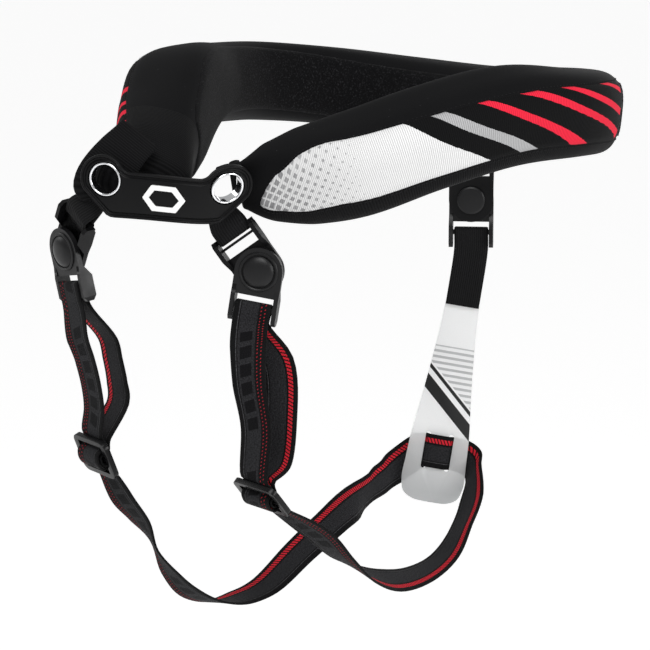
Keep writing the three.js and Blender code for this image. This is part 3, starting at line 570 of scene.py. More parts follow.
for name in ("side_panel_left", "back_panel", "side_panel_right"):
    for kind, (seat, aside, long) in SEAM_ROWS.items():
        sew(f"stitch_{kind}_{name}", seam_places(PANELS[name], seat, aside), long, STITCH_THICK)
crossed = []
for k in CROSS_AT:
    low, high = seams(PANELS["back_panel"], k)
    for step in range(1, CROSS_COUNT):
        angle = low + (high - low) * step / CROSS_COUNT
        middle, off = on_pad(k, angle, PANEL_LIFT), on_pad(k, angle, PANEL_LIFT + 1)
        ahead, above = on_pad(k + 0.05, angle, PANEL_LIFT) - middle, on_pad(k, angle + 4, PANEL_LIFT) - middle
        for lean in (-1, 1):
            crossed.append((middle, ahead.normalized() + lean * above.normalized(), off - middle))
sew("stitch_cross", crossed, CROSS_LONG, CROSS_THICK)

# Front plate
# A moulded plate of black nylon that joins the collar's two ends, with a round lobe over each eyelet.
# Its outline is extruded, rimmed and grooved flat, bored, and then curved to the line between the lobes.
LOBES = {  # place, azimuth and elevation it faces, and how far the plate runs straight from it
    "right": ((-40.1, -152.3, 0), 20, -4, 36),
    "left": ((17.3, -120.5, -2.6), 68, -20, 18),
}
LOBE_RADIUS, LOBE_SHIFT = 13.2, 1
WAIST_TOP, WAIST_FILLET, PLATE_DROP, CHAMFER_TURN = 4.5, 6, 20.5, 25
PLATE_THICK, PLATE_STEPS = 3, 400
RIM_AND_GROOVE = ((1.2, 0), (0.4, -1.3), (1.2, 0), (0.4, 1.1))  # each inset's width and rise
EYELET_BORE, EYELET_OUTER = 15.6, 18.4
CLEAR = 0.4  # gap between hard pieces


def facing(azimuth, elevation):
    """Direction towards a viewer at this azimuth and elevation."""
    a, e = math.radians(azimuth), math.radians(elevation)
    return Vector((math.sin(a) * math.cos(e), -math.cos(a) * math.cos(e), math.sin(e)))


def basis(right, up, front, place):
    """Frame with these axes at a place."""
    made = Matrix((right, up, front)).transposed().to_4x4()
    made.translation = Vector(place)
    return made


def frame_of(place, azimuth, elevation, swing=0):
    """Frame that faces a viewer at this azimuth and elevation, swung in its own plane."""
    front = facing(azimuth, elevation)
    up = (Vector((0, 0, 1)) - front * front.z).normalized()
    return basis(up.cross(front), up, front, place) @ Matrix.Rotation(math.radians(swing), 4, "Z")


def axis(frame, column):
    """One axis of a frame."""
    return frame.to_3x3().col[column].copy()


lobe_frame = {side: frame_of(*row[:3]) for side, row in LOBES.items()}
bezier = [lobe_frame["right"].translation,
          lobe_frame["right"].translation + axis(lobe_frame["right"], 0) * LOBES["right"][3],
          lobe_frame["left"].translation - axis(lobe_frame["left"], 0) * LOBES["left"][3],
          lobe_frame["left"].translation]


def plate_point(t):
    """Point of the plate's middle line at share t."""
    a, b, c, d = bezier
    return a * (1 - t) ** 3 + b * 3 * t * (1 - t) ** 2 + c * 3 * t * t * (1 - t) + d * t ** 3


plate_arc = [0]
for i in range(PLATE_STEPS):
    step = plate_point((i + 1) / PLATE_STEPS) - plate_point(i / PLATE_STEPS)
    plate_arc.append(plate_arc[-1] + step.length)
plate_half = plate_arc[-1] / 2


def plate_frame(p):
    """Frame of the plate p millimetres from its middle towards the wearer's left."""
    inside = min(max(p, -plate_half), plate_half)
    i = max(n for n in range(PLATE_STEPS) if plate_arc[n] <= inside + plate_half)
    share = (inside + plate_half - plate_arc[i]) / (plate_arc[i + 1] - plate_arc[i])
    t = (i + share) / PLATE_STEPS
    heading = (plate_point(min(t + 1e-3, 1)) - plate_point(max(t - 1e-3, 0))).normalized()
    up = axis(lobe_frame["right"], 1).lerp(axis(lobe_frame["left"], 1), (inside + plate_half) / plate_arc[-1])
    up = (up - heading * up.dot(heading)).normalized()
    return basis(heading, up, heading.cross(up), plate_point(t) + heading * (p - inside))


def slab(name, outline, low, high):
    """A flat plate with this outline between two heights, in millimetres."""
    bpy.ops.object.select_all(action="DESELECT")
    bpy.ops.mesh.primitive_circle_add(vertices=len(outline), radius=MM, fill_type="NGON")
    made = bpy.context.object
    made.name = made.data.name = name
    for v, (x, y) in zip(made.data.vertices, outline):
        v.co = Vector((x, y, low)) * MM
    bpy.ops.object.mode_set(mode="EDIT")
    bpy.ops.mesh.select_all(action="SELECT")
    bpy.ops.mesh.extrude_region_move(TRANSFORM_OT_translate={"value": (0, 0, (high - low) * MM)})
    bpy.ops.mesh.select_all(action="SELECT")
    bpy.ops.mesh.normals_make_consistent(inside=False)
    bpy.ops.object.mode_set(mode="OBJECT")
    return made


def pick_faces(piece, test):
    """Go into edit mode with only the faces selected whose normal passes the test."""
    only(piece)
    bpy.ops.object.mode_set(mode="EDIT")
    bpy.ops.mesh.select_mode(type="FACE")
    bpy.ops.mesh.select_all(action="DESELECT")
    drawn = bmesh.from_edit_mesh(piece.data)
    for face in drawn.faces:
        if test(face.normal):
            face.select_set(True)
    bmesh.update_edit_mesh(piece.data)


def cut(piece, tool, way="DIFFERENCE", folded=False):
    """Cut a tool's shape out of a piece, or join it on, and remove the tool. Folded, it may touch itself."""
    change = piece.modifiers.new("cut", "BOOLEAN")
    change.object = tool
    change.operation = way
    change.solver = "EXACT"
    change.use_self = folded
    apply_all(piece)
    bpy.data.objects.remove(tool)


def soften(piece, width, segments=3, angle=32):
    """Round a piece's sharp edges, as a mould leaves them."""
    edges = piece.modifiers.new("edges", "BEVEL")
    edges.width = width * MM
    edges.segments = segments
    edges.limit_method = "ANGLE"
    edges.angle_limit = math.radians(angle)
    edges.harden_normals = False
    apply_all(piece)


def smooth(piece, angle=38):
    """Shade a piece smooth but for its sharp edges."""
    only(piece)
    bpy.ops.object.shade_smooth_by_angle(angle=math.radians(angle))
    piece.select_set(False)


def settle(piece, place):
    """Move a piece's mesh by a frame given in millimetres."""
    moved = place.copy()
    moved.translation = moved.translation * MM
    piece.data.transform(moved)
    piece.data.update()


def arc_points(x, y, radius, start, end, count):
    """Points of a circle's arc between two angles in degrees."""
    turns = [math.radians(start + (end - start) * i / count) for i in range(count + 1)]
    return [(x + radius * math.cos(a), y + radius * math.sin(a)) for a in turns]


def curve_on_plate(piece, step):
    """Cut a flat piece across every few millimetres and curve it to the plate's line."""
    only(piece)
    bpy.ops.object.mode_set(mode="EDIT")
    reach = math.ceil(max(abs(v[0]) for v in piece.bound_box) / MM / step)
    for number in range(-reach, reach + 1):
        bpy.ops.mesh.select_all(action="SELECT")
        bpy.ops.mesh.bisect(plane_co=(number * step * MM, 0, 0), plane_no=(1, 0, 0))
    bpy.ops.object.mode_set(mode="OBJECT")
    for v in piece.data.vertices:
        x, y, z = v.co / MM
        v.co = plate_frame(x) @ Vector((0, y, z)) * MM
    piece.data.update()


lobe_x = plate_half + LOBE_SHIFT
waist_x = lobe_x - math.sqrt((LOBE_RADIUS + WAIST_FILLET) ** 2 - (WAIST_TOP + WAIST_FILLET) ** 2)
fillet_turn = math.degrees(math.atan2(-WAIST_TOP - WAIST_FILLET, lobe_x - waist_x))
corner_x = plate_half - 1
half_outline = [(corner_x - 4, -PLATE_DROP), (corner_x - 1.2, 0.25 - PLATE_DROP),
                (corner_x + 1.2, 1.4 - PLATE_DROP)]
half_outline += arc_points(lobe_x, 0, LOBE_RADIUS, -CHAMFER_TURN, 180 + fillet_turn, 34)
half_outline += arc_points(waist_x, WAIST_TOP + WAIST_FILLET, WAIST_FILLET, fillet_turn, -90, 8)[1:]
outline = half_outline + [(-x, y) for x, y in reversed(half_outline)]
plate = slab("nylon_plate", outline, -PLATE_THICK / 2, PLATE_THICK / 2)
pick_faces(plate, lambda normal: normal.z > 0.9)
for inward, rise in RIM_AND_GROOVE:
    bpy.ops.mesh.inset(thickness=inward * MM, depth=rise * MM)
bpy.ops.object.mode_set(mode="OBJECT")
soften(plate, 0.7, 3, 60)
for side in (-1, 1):
    bpy.ops.mesh.primitive_cylinder_add(vertices=64, radius=(EYELET_OUTER / 2 + CLEAR) * MM, depth=20 * MM,
                                        location=(side * plate_half * MM, 0, 0))
    cut(plate, bpy.context.object)
curve_on_plate(plate, 2.5)
smooth(plate)

# Moulded nylon: matt near-black with a fine spark-eroded grain that breaks up its highlights
nylon, tree, shader = finish_of("moulded_black_nylon", {"Specular IOR Level": 0.11, "IOR": 1.53})
where = add(tree, "TexCoord")["Object"]
GRAIN = 0.6  # mm, about twice the real grain so that it shows
grain = add(tree, "TexNoise", {"Vector": where, "Scale": 1 / (GRAIN * MM), "Detail": 3, "Roughness": 0.6})[0]
handled = add(tree, "TexNoise", {"Vector": where, "Scale": 1 / (14 * MM), "Detail": 3})[0]
feed(shader, {
    "Base Color": add(tree, "Mix", {0: grain, 6: "#070708", 7: "#0d0d0e"}, data_type="RGBA")[2],
    "Roughness": add(tree, "MapRange", {0: handled, 1: 0.3, 2: 0.7, 3: 0.36, 4: 0.48})[0],
    "Normal": add(tree, "Bump", {"Height": grain, "Distance": 0.05 * MM, "Strength": 0.6})[0]})
plate.data.materials.append(nylon)
dress(plate, "front_plate")

# Plate badge
# A plain raised six-sided frame, moulded in white and pressed into the plate's face.
# A hexagon is extruded, its middle cut out, and its edges rounded.
BADGE_WIDE, BADGE_TALL, BADGE_BORDER, BADGE_HIGH, BADGE_DROP = 24, 14, 2.6, 1.2, 7.75
hexagon = [(0.5, 0), (0.28, 0.5), (-0.28, 0.5), (-0.5, 0), (-0.28, -0.5), (0.28, -0.5)]
face_top = PLATE_THICK / 2
badge = slab("badge_frame", [(x * BADGE_WIDE, y * BADGE_TALL - BADGE_DROP) for x, y in hexagon],
             face_top - 0.5, face_top + BADGE_HIGH)
hole_wide, hole_tall = BADGE_WIDE - 2.6 * BADGE_BORDER, BADGE_TALL - 2 * BADGE_BORDER
cut(badge, slab("badge_hole", [(x * hole_wide, y * hole_tall - BADGE_DROP) for x, y in hexagon],
                face_top - 2, face_top + 4))
soften(badge, 0.45, 3)
curve_on_plate(badge, 1.5)
smooth(badge)
# White enamelled nylon: satin, faintly uneven
enamel, tree, shader = finish_of("white_badge_enamel", {"Specular IOR Level": 0.5})
where = add(tree, "TexCoord")["Object"]
uneven = add(tree, "TexNoise", {"Vector": where, "Scale": 1 / (3 * MM), "Detail": 3})[0]
feed(shader, {
    "Base Color": add(tree, "Mix", {0: uneven, 6: "#dcdcdb", 7: "#f4f4f3"}, data_type="RGBA")[2],
    "Roughness": add(tree, "MapRange", {0: uneven, 1: 0, 2: 1, 3: 0.35, 4: 0.5})[0]})
badge.data.materials.append(enamel)
dress(badge, "plate_badge")

# Eyelets
# Pressed brass eyelets, chromed, that clench the plate on to the collar's sewn ends.
# Their section is spun round the bore: a rolled front rim on a thin barrel.
TAB_THICK = 2
tab_back = -(PLATE_THICK / 2 + CLEAR + TAB_THICK)


def turned(name, section, steps=56):
    """A piece spun from a section of [radius, height] points in millimetres."""
    mesh = bpy.data.meshes.new(name)
    closed = section[0][0] > 0.01
    pairs = [(i, i + 1) for i in range(len(section) - 1)] + ([(len(section) - 1, 0)] if closed else [])
    mesh.from_pydata([Vector((r, 0, z)) * MM for r, z in section], pairs, [])
    made = bpy.data.objects.new(name, mesh)
    bpy.context.collection.objects.link(made)
    only(made)
    bpy.ops.object.mode_set(mode="EDIT")
    bpy.ops.mesh.select_all(action="SELECT")
    bpy.ops.mesh.spin(steps=steps, angle=2 * math.pi, center=(0, 0, 0), axis=(0, 0, 1))
    bpy.ops.mesh.select_all(action="SELECT")
    bpy.ops.mesh.remove_doubles(threshold=1e-6)
    bpy.ops.mesh.normals_make_consistent(inside=False)
    bpy.ops.object.mode_set(mode="OBJECT")
    return made


bore, rim = EYELET_BORE / 2, EYELET_OUTER / 2
eyelet_section = [(bore, tab_back - 0.6), (rim, tab_back - 0.6), (rim, 0.6), (rim - 0.15, 1.05),
                  (rim - 0.5, 1.35), (rim - 0.8, 1.4), (bore + 0.25, 1.15), (bore + 0.05, 0.8), (bore, 0.3)]
# Chromed brass: a mirror with the faint cloudy wear of handled plating
chrome, tree, shader = finish_of("chromed_brass", {"Base Color": linear("#dfe0e2"), "Metallic": 1})
where = add(tree, "TexCoord")["Object"]
wear = add(tree, "TexNoise", {"Vector": where, "Scale": 1 / (2.5 * MM), "Detail": 5})[0]
feed(shader, {"Roughness": add(tree, "MapRange", {0: wear, 1: 0.35, 2: 0.75, 3: 0.08, 4: 0.26})[0]})
for side in ("left", "right"):
    eyelet = turned("chrome_eyelet_" + side, eyelet_section)
    settle(eyelet, lobe_frame[side])
    smooth(eyelet, 50)
    eyelet.data.materials.append(chrome)
    dress(eyelet, "eyelet_" + side)

# Sewn ends of the collar
# The cover's two ends without foam: a tongue of stretch cover and a flap of rib knit, held by the eyelets.
# Each is a flat band that follows its table from the foam to its place behind the plate.
tab_middle = tab_back + TAB_THICK / 2
FAR_FACE = 100  # added to the millimetres across on the other face of a band


def rows_in(place, points, wide, edge=(1, 0, 0)):
    """Rows of a band at points of a frame, one of its edges pointing this way in that frame."""
    w = (place.to_3x3() @ Vector(edge)).normalized()
    return [(place @ Vector(p), w, wide) for p in points]


def band(name, rows, thick, steps=6, across=10, back=False):
    """A band of cloth through rows of place, edge direction and width, with its millimetres as UV.

    The outer face has 0 to its width across, and the other face FAR_FACE more. The outer face is the one
    that the cross product of heading and edge points to, or with back the other one."""
    lines = [[Vector(row[0]) for row in rows], [Vector(row[1]) for row in rows],
             [Vector((row[2], 0, 0)) for row in rows]]
    count = (len(rows) - 1) * steps
    inset = 1 - thick / rows[0][2]
    spots = [-1] + [-inset + 2 * inset * j / across for j in range(across + 1)] + [1]
    fall = [0.3] + [1] * (across + 1) + [0.3]
    ring = [(a, f) for a, f in zip(spots, fall)] + [(a, -f) for a, f in zip(reversed(spots), fall)]
    points, run = [], [0]
    for i in range(count + 1):
        t = i / count
        heading = along(lines[0], t)
        w = through(lines[1], t)
        w = (w - heading * w.dot(heading)).normalized()
        n = heading.cross(w)
        wide = through(lines[2], t).x
        middle = through(lines[0], t)
        points += [middle + w * (a * wide / 2) + n * (f * thick / 2) for a, f in ring]
        if i:
            run.append(run[-1] + (middle - before).length)
        before = middle
    side, half_side, wide = len(ring), len(spots), rows[0][2]
    faces, uvs = [], []
    for i in range(count):
        for j in range(side):
            k = (j + 1) % side
            faces.append((i * side + k, i * side + j, (i + 1) * side + j, (i + 1) * side + k))
            far = FAR_FACE if (j >= half_side) != back else 0
            v = [(ring[c][0] + 1) / 2 * wide + far for c in (k, j)]
            uvs.append([(run[i], v[0]), (run[i], v[1]), (run[i + 1], v[1]), (run[i + 1], v[0])])
    for first, flip in ((0, False), (count * side, True)):
        for j in range(half_side - 1):
            cap = [first + j, first + j + 1, first + side - 2 - j, first + side - 1 - j]
            faces.append(tuple(reversed(cap)) if flip else tuple(cap))
            uvs.append([(run[-1] if flip else 0, 0)] * 4)
    return mesh_piece(name, points, faces, uvs)


tip = section_at(0)
tongue_rows = [(tip[0] - tip[5] * (NOSE["left"] + 3.2) + tip[2] * 4.5, tip[2], 18),
               *rows_in(lobe_frame["left"], [(6.5, 0.6, tab_middle - 2.6)], 22.5, (0, 1, 0)),
               *rows_in(lobe_frame["left"], [(0, 0.3, tab_middle - 0.7)], 23.5, (0, 1, 0)),
               *rows_in(lobe_frame["left"], [(-5.5, 0, tab_middle - 0.7)], 21, (0, 1, 0))]
flap_rows = [*rows_in(lobe_frame["right"], [(13.5, 21.8, -17)], 29),
             *rows_in(lobe_frame["right"], [(4.2, 10.6, -7.8)], 30, (0.98, -0.15, 0.1)),
             *rows_in(lobe_frame["right"], [(-4, -5, tab_middle - 0.4)], 33),
             *rows_in(lobe_frame["right"], [(-2.8, -11.2, tab_middle - 0.1)], 18)]
SEWN_ENDS = {  # rows, material, record slot, flat width and length in metres
    "left": (tongue_rows, neoprene, "pad_cover", (0.0225, 0.023)),
    "right": (flap_rows, plain_rib, "ribbed_panel", (0.032, 0.042)),
}
for side, (rows, cover, slot, flat) in SEWN_ENDS.items():
    end_tab = band("sewn_end_" + side, rows, TAB_THICK, 8, 14)
    bpy.ops.mesh.primitive_cylinder_add(vertices=48, radius=(EYELET_OUTER + CLEAR) / 2 * MM, depth=30 * MM)
    rod = bpy.context.object
    settle(rod, lobe_frame[side])
    cut(end_tab, rod, folded=True)
    end_tab.data.materials.append(cover)
    dress(end_tab, "end_tab_" + side)

# Swivel clips
# Two moulded nylon halves on a snap button, the upper on the webbing and the lower on the strap.
# A half is extruded, railed, slotted and rounded; one of each piece is modelled and copied to its places.
CLIPS = {  # pivot, azimuth and elevation its face looks to, and the swing of the upper and lower half
    "left": ((24.3, -103.2, -48.4), 30, 0, 36, -9),
    "right": ((-74.0, -147.6, -42.5), -12, -7, -34, 10),
    "back": ((4.1, 104.8, -36.8), 215, 0, 0, 0),
}
CLIP_HALF, CLIP_THICK = 12.9, 2.8
RAIL_INNER, RAIL_FROM, RAIL_DEEP = 10.5, 8.5, 8
PIVOT_HOLE = 4.4


def box_at(low, high):
    """A box between two corners in millimetres."""
    bpy.ops.object.select_all(action="DESELECT")
    middle = [(a + b) / 2 * MM for a, b in zip(low, high)]
    bpy.ops.mesh.primitive_cube_add(size=1, location=middle)
    made = bpy.context.object
    made.scale = [(b - a) * MM for a, b in zip(low, high)]
    bpy.ops.object.transform_apply(location=True, rotation=False, scale=True)
    return made


def clip_half(name, reach, rails, slots, low):
    """One half of a clip, its round end at the pivot and its bars above it."""
    made = slab(name, arc_points(0, 0, CLIP_HALF, 180, 360, 28) + [(CLIP_HALF, reach), (-CLIP_HALF, reach)],
                low, low + CLIP_THICK)
    for side in (-1, 1):
        near, far = sorted((side * RAIL_INNER, side * CLIP_HALF))
        half, end = RAIL_DEEP / 2, rails - 2.5
        full = RAIL_FROM + 6
        rail = slab("rail", [(RAIL_FROM, low), (full, -half), (end, -half), (rails, 2 - half),
                             (rails, half - 2), (end, half), (full, half), (RAIL_FROM, low + CLIP_THICK)],
                    near, far)
        rail.data.transform(Matrix(((0, 0, 1, 0), (1, 0, 0, 0), (0, 1, 0, 0), (0, 0, 0, 1))))
        cut(made, rail, "UNION")
    for bottom, top in slots:
        cut(made, box_at((-RAIL_INNER, bottom, -9), (RAIL_INNER, top, 9)))
    bpy.ops.mesh.primitive_cylinder_add(vertices=40, radius=PIVOT_HOLE * MM, depth=30 * MM)
    cut(made, bpy.context.object)
    return made


CLIP_EDGE = 0.55
upper_half = clip_half("clip_upper", 26, 26, [(13.9, 18.9), (20.3, 23.4)], -3.2)
lower_half = clip_half("clip_lower", 20.8, 28, [(13.2, 18.2)], 0.4)
for half in (upper_half, lower_half):
    soften(half, CLIP_EDGE)
BOSS = [(9.0, 3.0), (10.6, 3.0), (10.6, 3.7), (10.2, 4.15), (9.5, 4.25), (9.0, 3.9)]
cut(lower_half, turned("clip_boss", BOSS), "UNION")
DOME = [(0, 6.1), (2.2, 6.05), (4.4, 5.8), (6.2, 5.35), (7.5, 4.7), (8.3, 4.0), (8.6, 3.6), (8.5, 3.45),
        (4, 3.45), (4, -3.6), (8, -3.6), (8, -4.6), (7.6, -5.0), (6.5, -5.2), (0, -5.2)]
button = turned("clip_button", DOME)

# Grey nylon: the same moulded stuff in dark grey, a little glossier
grey_nylon, tree, shader = finish_of("moulded_grey_nylon", {"Specular IOR Level": 0.2, "IOR": 1.53})
where = add(tree, "TexCoord")["Object"]
grain = add(tree, "TexNoise", {"Vector": where, "Scale": 1 / (GRAIN * MM), "Detail": 3, "Roughness": 0.6})[0]
handled = add(tree, "TexNoise", {"Vector": where, "Scale": 1 / (9 * MM), "Detail": 3})[0]
feed(shader, {
    "Base Color": add(tree, "Mix", {0: grain, 6: "#0d0d0e", 7: "#161617"}, data_type="RGBA")[2],
    "Roughness": add(tree, "MapRange", {0: handled, 1: 0.3, 2: 0.7, 3: 0.3, 4: 0.44})[0],
    "Normal": add(tree, "Bump", {"Height": grain, "Distance": 0.04 * MM, "Strength": 0.5})[0]})


def copy_of(model, name, place, finish):
    """A copy of a model with its own mesh, at its place and in its material."""
    made = bpy.data.objects.new(name, model.data.copy())
    bpy.context.collection.objects.link(made)
    settle(made, place)
    smooth(made)
    made.data.materials.append(finish)
    return made


upper_frame, lower_frame = {}, {}
for side, (place, azimuth, elevation, upper, lower) in CLIPS.items():
    upper_frame[side] = frame_of(place, azimuth, elevation, upper)
    lower_frame[side] = frame_of(place, azimuth, elevation, lower + 180)
    for model, kind, at, finish, slot in (
            (upper_half, "clip_upper_", upper_frame[side], nylon, "moulded_black"),
            (lower_half, "clip_lower_", lower_frame[side], grey_nylon, "clip_grey"),
            (button, "clip_button_", frame_of(place, azimuth, elevation), grey_nylon, "clip_grey")):
        dress(copy_of(model, "nylon_" + kind + side, at, finish), kind + side)
for model in (upper_half, lower_half, button):
    bpy.data.objects.remove(model)

# Webbing loops
# Black grosgrain webbing that carries each clip, sewn behind the plate in front and to the pad behind.
# A band round the clip's top bar, from its sewn end and back to it.
WEBBING_WIDE, WEBBING_THICK, WEBBING_SEWN = 19.4, 1.5, 15
TOP_BAR_TURN = [(0, 28.5, 0.8), (0, 24.9, 0.8), (0, 22.6, 0.5), (0, 22.2, -1.8), (0, 22.6, -4.1),
                (0, 24.9, -4.4), (0, 28.5, -4.4)]
SEWN_AT = {  # sewn end, the plate's edge, and the lean of the loop in degrees
    "left": ((0, -14.2), (1.5, -17.5), 28),
    "right": ((-8.9, -11.4), (-11.1, -14.2), -38),
}
CORDS, PICKS = 1.2, 0.8  # mm from rib to rib along the tape, and from weft to weft
webbing_front = tab_back - CLEAR - WEBBING_THICK / 2 - CLEAR
webbing_back = webbing_front - CLEAR - WEBBING_THICK
# Grosgrain: ribs close together along the tape, crossed by fine weft, dull black
grosgrain, tree, shader = finish_of("black_grosgrain", {
    "Roughness": 0.76, "Specular IOR Level": 0.1, "Sheen Weight": 0.015})
cloth_at = add(tree, "UVMap", uv_map="cloth")[0]
cords = add(tree, "TexWave", {"Vector": cloth_at, "Scale": wave_scale(CORDS), "Distortion": 0.4},
            wave_type="BANDS", bands_direction="Y")[1]
picks = add(tree, "TexWave", {"Vector": cloth_at, "Scale": wave_scale(PICKS), "Distortion": 0.6},
            wave_type="BANDS", bands_direction="X")[1]
woven = add(tree, "Math", {0: picks, 1: 0.3, 2: cords}, operation="MULTIPLY_ADD")[0]
feed(shader, {
    "Base Color": add(tree, "Mix", {0: woven, 6: "#060607", 7: "#141415"}, data_type="RGBA")[2],
    "Normal": add(tree, "Bump", {"Height": woven, "Distance": 0.25 * MM, "Strength": 0.7})[0]})
loops = {"back": rows_in(upper_frame["back"], TOP_BAR_TURN, WEBBING_WIDE)}
for side, (end, edge, lean) in SEWN_AT.items():
    across = (math.cos(math.radians(lean)), math.sin(math.radians(lean)), 0)
    down, up = [(*end, webbing_front), (*edge, webbing_front)], [(*edge, webbing_back), (*end, webbing_back)]
    loops[side] = [*rows_in(lobe_frame[side], down, WEBBING_SEWN, across),
                   *rows_in(upper_frame[side], TOP_BAR_TURN, WEBBING_WIDE),
                   *rows_in(lobe_frame[side], up, WEBBING_SEWN, across)]
for side, rows in loops.items():
    loop = band("grosgrain_" + side, rows, WEBBING_THICK)
    loop.data.materials.append(grosgrain)
    dress(loop, "webbing_" + side)

# Strap sliders
# Three-bar sliders of glossy black acetal that set the length of each strap loop.
# A rounded plate with two windows, modelled once and copied.
SLIDERS = {  # place, direction across and direction up the plate
    "left": ((38, -117.3, -166.2), (0.996, -0.024, -0.08), (-0.17, -0.67, 0.72)),
    "right": ((-49.2, -153.3, -150.7), (0.978, -0.2, -0.04), (-0.042, -0.396, 0.912)),
}
SLIDER_WIDE, SLIDER_TALL, SLIDER_THICK, SLIDER_CORNER = 30, 23, 3, 4.5
SLIDER_BAR, SLIDER_WINDOW, WINDOW_WIDE = 1.6, 8.4, 21.6
x, y, r = SLIDER_WIDE / 2 - SLIDER_CORNER, SLIDER_TALL / 2 - SLIDER_CORNER, SLIDER_CORNER
corners = (arc_points(x, y, r, 0, 90, 6) + arc_points(-x, y, r, 90, 180, 6)
           + arc_points(-x, -y, r, 180, 270, 6) + arc_points(x, -y, r, 270, 360, 6))
slider_model = slab("slider", corners, -SLIDER_THICK / 2, SLIDER_THICK / 2)
for low, high in ((-SLIDER_WINDOW, -SLIDER_BAR), (SLIDER_BAR, SLIDER_WINDOW)):
    cut(slider_model, box_at((-WINDOW_WIDE / 2, low, -5), (WINDOW_WIDE / 2, high, 5)))
soften(slider_model, 1.0, 4, 40)
# Acetal: glossy black straight from a polished mould, with faint flow clouds
acetal, tree, shader = finish_of("glossy_black_acetal", {"Specular IOR Level": 0.16, "IOR": 1.48})
where = add(tree, "TexCoord")["Object"]
flow = add(tree, "TexNoise", {"Vector": where, "Scale": 1 / (5 * MM), "Detail": 3})[0]
feed(shader, {
    "Base Color": add(tree, "Mix", {0: flow, 6: "#070708", 7: "#0f0f10"}, data_type="RGBA")[2],
    "Roughness": add(tree, "MapRange", {0: flow, 1: 0.3, 2: 0.7, 3: 0.2, 4: 0.32})[0]})
slider_frame = {}
for side, (place, right, up) in SLIDERS.items():
    across = Vector(right).normalized()
    front = across.cross(Vector(up)).normalized()
    slider_frame[side] = basis(across, front.cross(across), front, place)
    slider = copy_of(slider_model, "acetal_slider_" + side, slider_frame[side], acetal)
    dress(slider, "slider_" + side)
bpy.data.objects.remove(slider_model)

# Back tab
# A slotted tab of frosted translucent plastic that joins the strap to the back clip, with a plain bar print.
# Its outline is extruded thin and rounded, and its two strap slots are cut through.
TAB_OUTLINE = [(9.6, 93), (11.3, 65), (14, 36), (17, 10), (17.8, -5), (18.3, -18), (16, -26), (10, -29.5),
               (0, -30.2)]  # its right edge, from the top down
TAB_TOP, TAB_FOOT, TAB_AT = Vector((3, 99.1, -98.3)), Vector((-1.3, 74.7, -211.6)), (0.1, 79.8, -183.6)
EDGE_STEPS = 64
TAB_FACES = 35  # azimuth of its front
SLOT_APART, SLOT_WIDE, SLOT_TALL, BACK_TAB_THICK = 13.6, 3, 21.6, 1.2
up = (TAB_TOP - TAB_FOOT).normalized()
front = facing(TAB_FACES, 0)
front = (front - up * front.dot(up)).normalized()
tab_frame = basis(up.cross(front), up, front, TAB_AT)
edge_line = [Vector((x, y, 0)) for x, y in TAB_OUTLINE]
right_edge = [through(edge_line, i / EDGE_STEPS) for i in range(EDGE_STEPS + 1)]
outline = [(p.x, p.y) for p in right_edge] + [(-p.x, p.y) for p in reversed(right_edge[:-1])]
back_tab = slab("frosted_tab", outline, -BACK_TAB_THICK / 2, BACK_TAB_THICK / 2)
for way in (-1, 1):
    middle, end = way * SLOT_APART / 2, SLOT_TALL / 2 - SLOT_WIDE / 2
    opening = arc_points(middle, end, SLOT_WIDE / 2, 0, 180, 8)
    opening += arc_points(middle, -end, SLOT_WIDE / 2, 180, 360, 8)
    cut(back_tab, slab("tab_slot", opening, -4, 4))
soften(back_tab, 0.3, 2, 50)
flat_spots = [v.co / MM for v in back_tab.data.vertices]
layer = back_tab.data.uv_layers.new(name="cloth")
for spot, loop in zip(layer.data, back_tab.data.loops):
    spot.uv = flat_spots[loop.vertex_index].xy
settle(back_tab, tab_frame)
smooth(back_tab)
# Frosted polypropylene: milky and translucent with a fine matt grain, printed with black and grey bars, with
# painted shade where the strap lies behind it
frosted, tree, shader = finish_of("frosted_polypropylene", {
    "Transmission Weight": 0.5, "IOR": 1.49, "Specular IOR Level": 0.5})
cloth_at = add(tree, "UVMap", uv_map="cloth")[0]
spots = add(tree, "SeparateXYZ", {0: cloth_at})
matt = add(tree, "TexNoise", {"Vector": cloth_at, "Scale": 1 / 0.6, "Detail": 2})[0]
slant = add(tree, "Math", {0: spots[0], 1: 0.9, 2: spots[1]}, operation="MULTIPLY_ADD")[0]
BARS_FROM, BARS_TO = 20, 80  # mm up the tab, and white in the ramp is ink
TAB_BARS = [(20, "#000000"), (24, "#ffffff"), (33, "#000000"), (37, "#ffffff"), (39.5, "#000000")]
HATCH, HATCH_INK, HATCH_FROM, HATCH_TO = 3.4, 1.5, 41, 62  # mm from line to line, of ink, and up the tab
share = add(tree, "MapRange", {0: slant, 1: BARS_FROM, 2: BARS_TO})[0]
bars = add(tree, "ValToRGB", {0: share}, [((start - BARS_FROM) / (BARS_TO - BARS_FROM), ink)
                                          for start, ink in TAB_BARS])[0]
hatch = add(tree, "Math", {0: spots[1], 1: HATCH}, operation="MODULO")[0]
hatch = add(tree, "Math", {0: hatch, 1: HATCH_INK}, operation="LESS_THAN")[0]
over = add(tree, "Math", {0: slant, 1: HATCH_FROM}, operation="GREATER_THAN")[0]
under = add(tree, "Math", {0: spots[1], 1: HATCH_TO}, operation="LESS_THAN")[0]
for part in (over, under):
    hatch = add(tree, "Math", {0: hatch, 1: part}, operation="MULTIPLY")[0]
milky = add(tree, "Mix", {0: matt, 6: "#eceded", 7: "#f8f8f8"}, data_type="RGBA")[2]
# Painted shade: the tab is painted greyer towards its foot, where the strap behind it shows through as shade
strap_shade_behind = add(tree, "MapRange", {0: spots[1], 1: 16, 2: -24, 3: 0, 4: 0.85})[0]
milky = add(tree, "Mix", {0: strap_shade_behind, 6: milky, 7: "#aeb0b1"}, data_type="RGBA")[2]
hatched = add(tree, "Mix", {0: hatch, 6: milky, 7: "#b9babb"}, data_type="RGBA")[2]
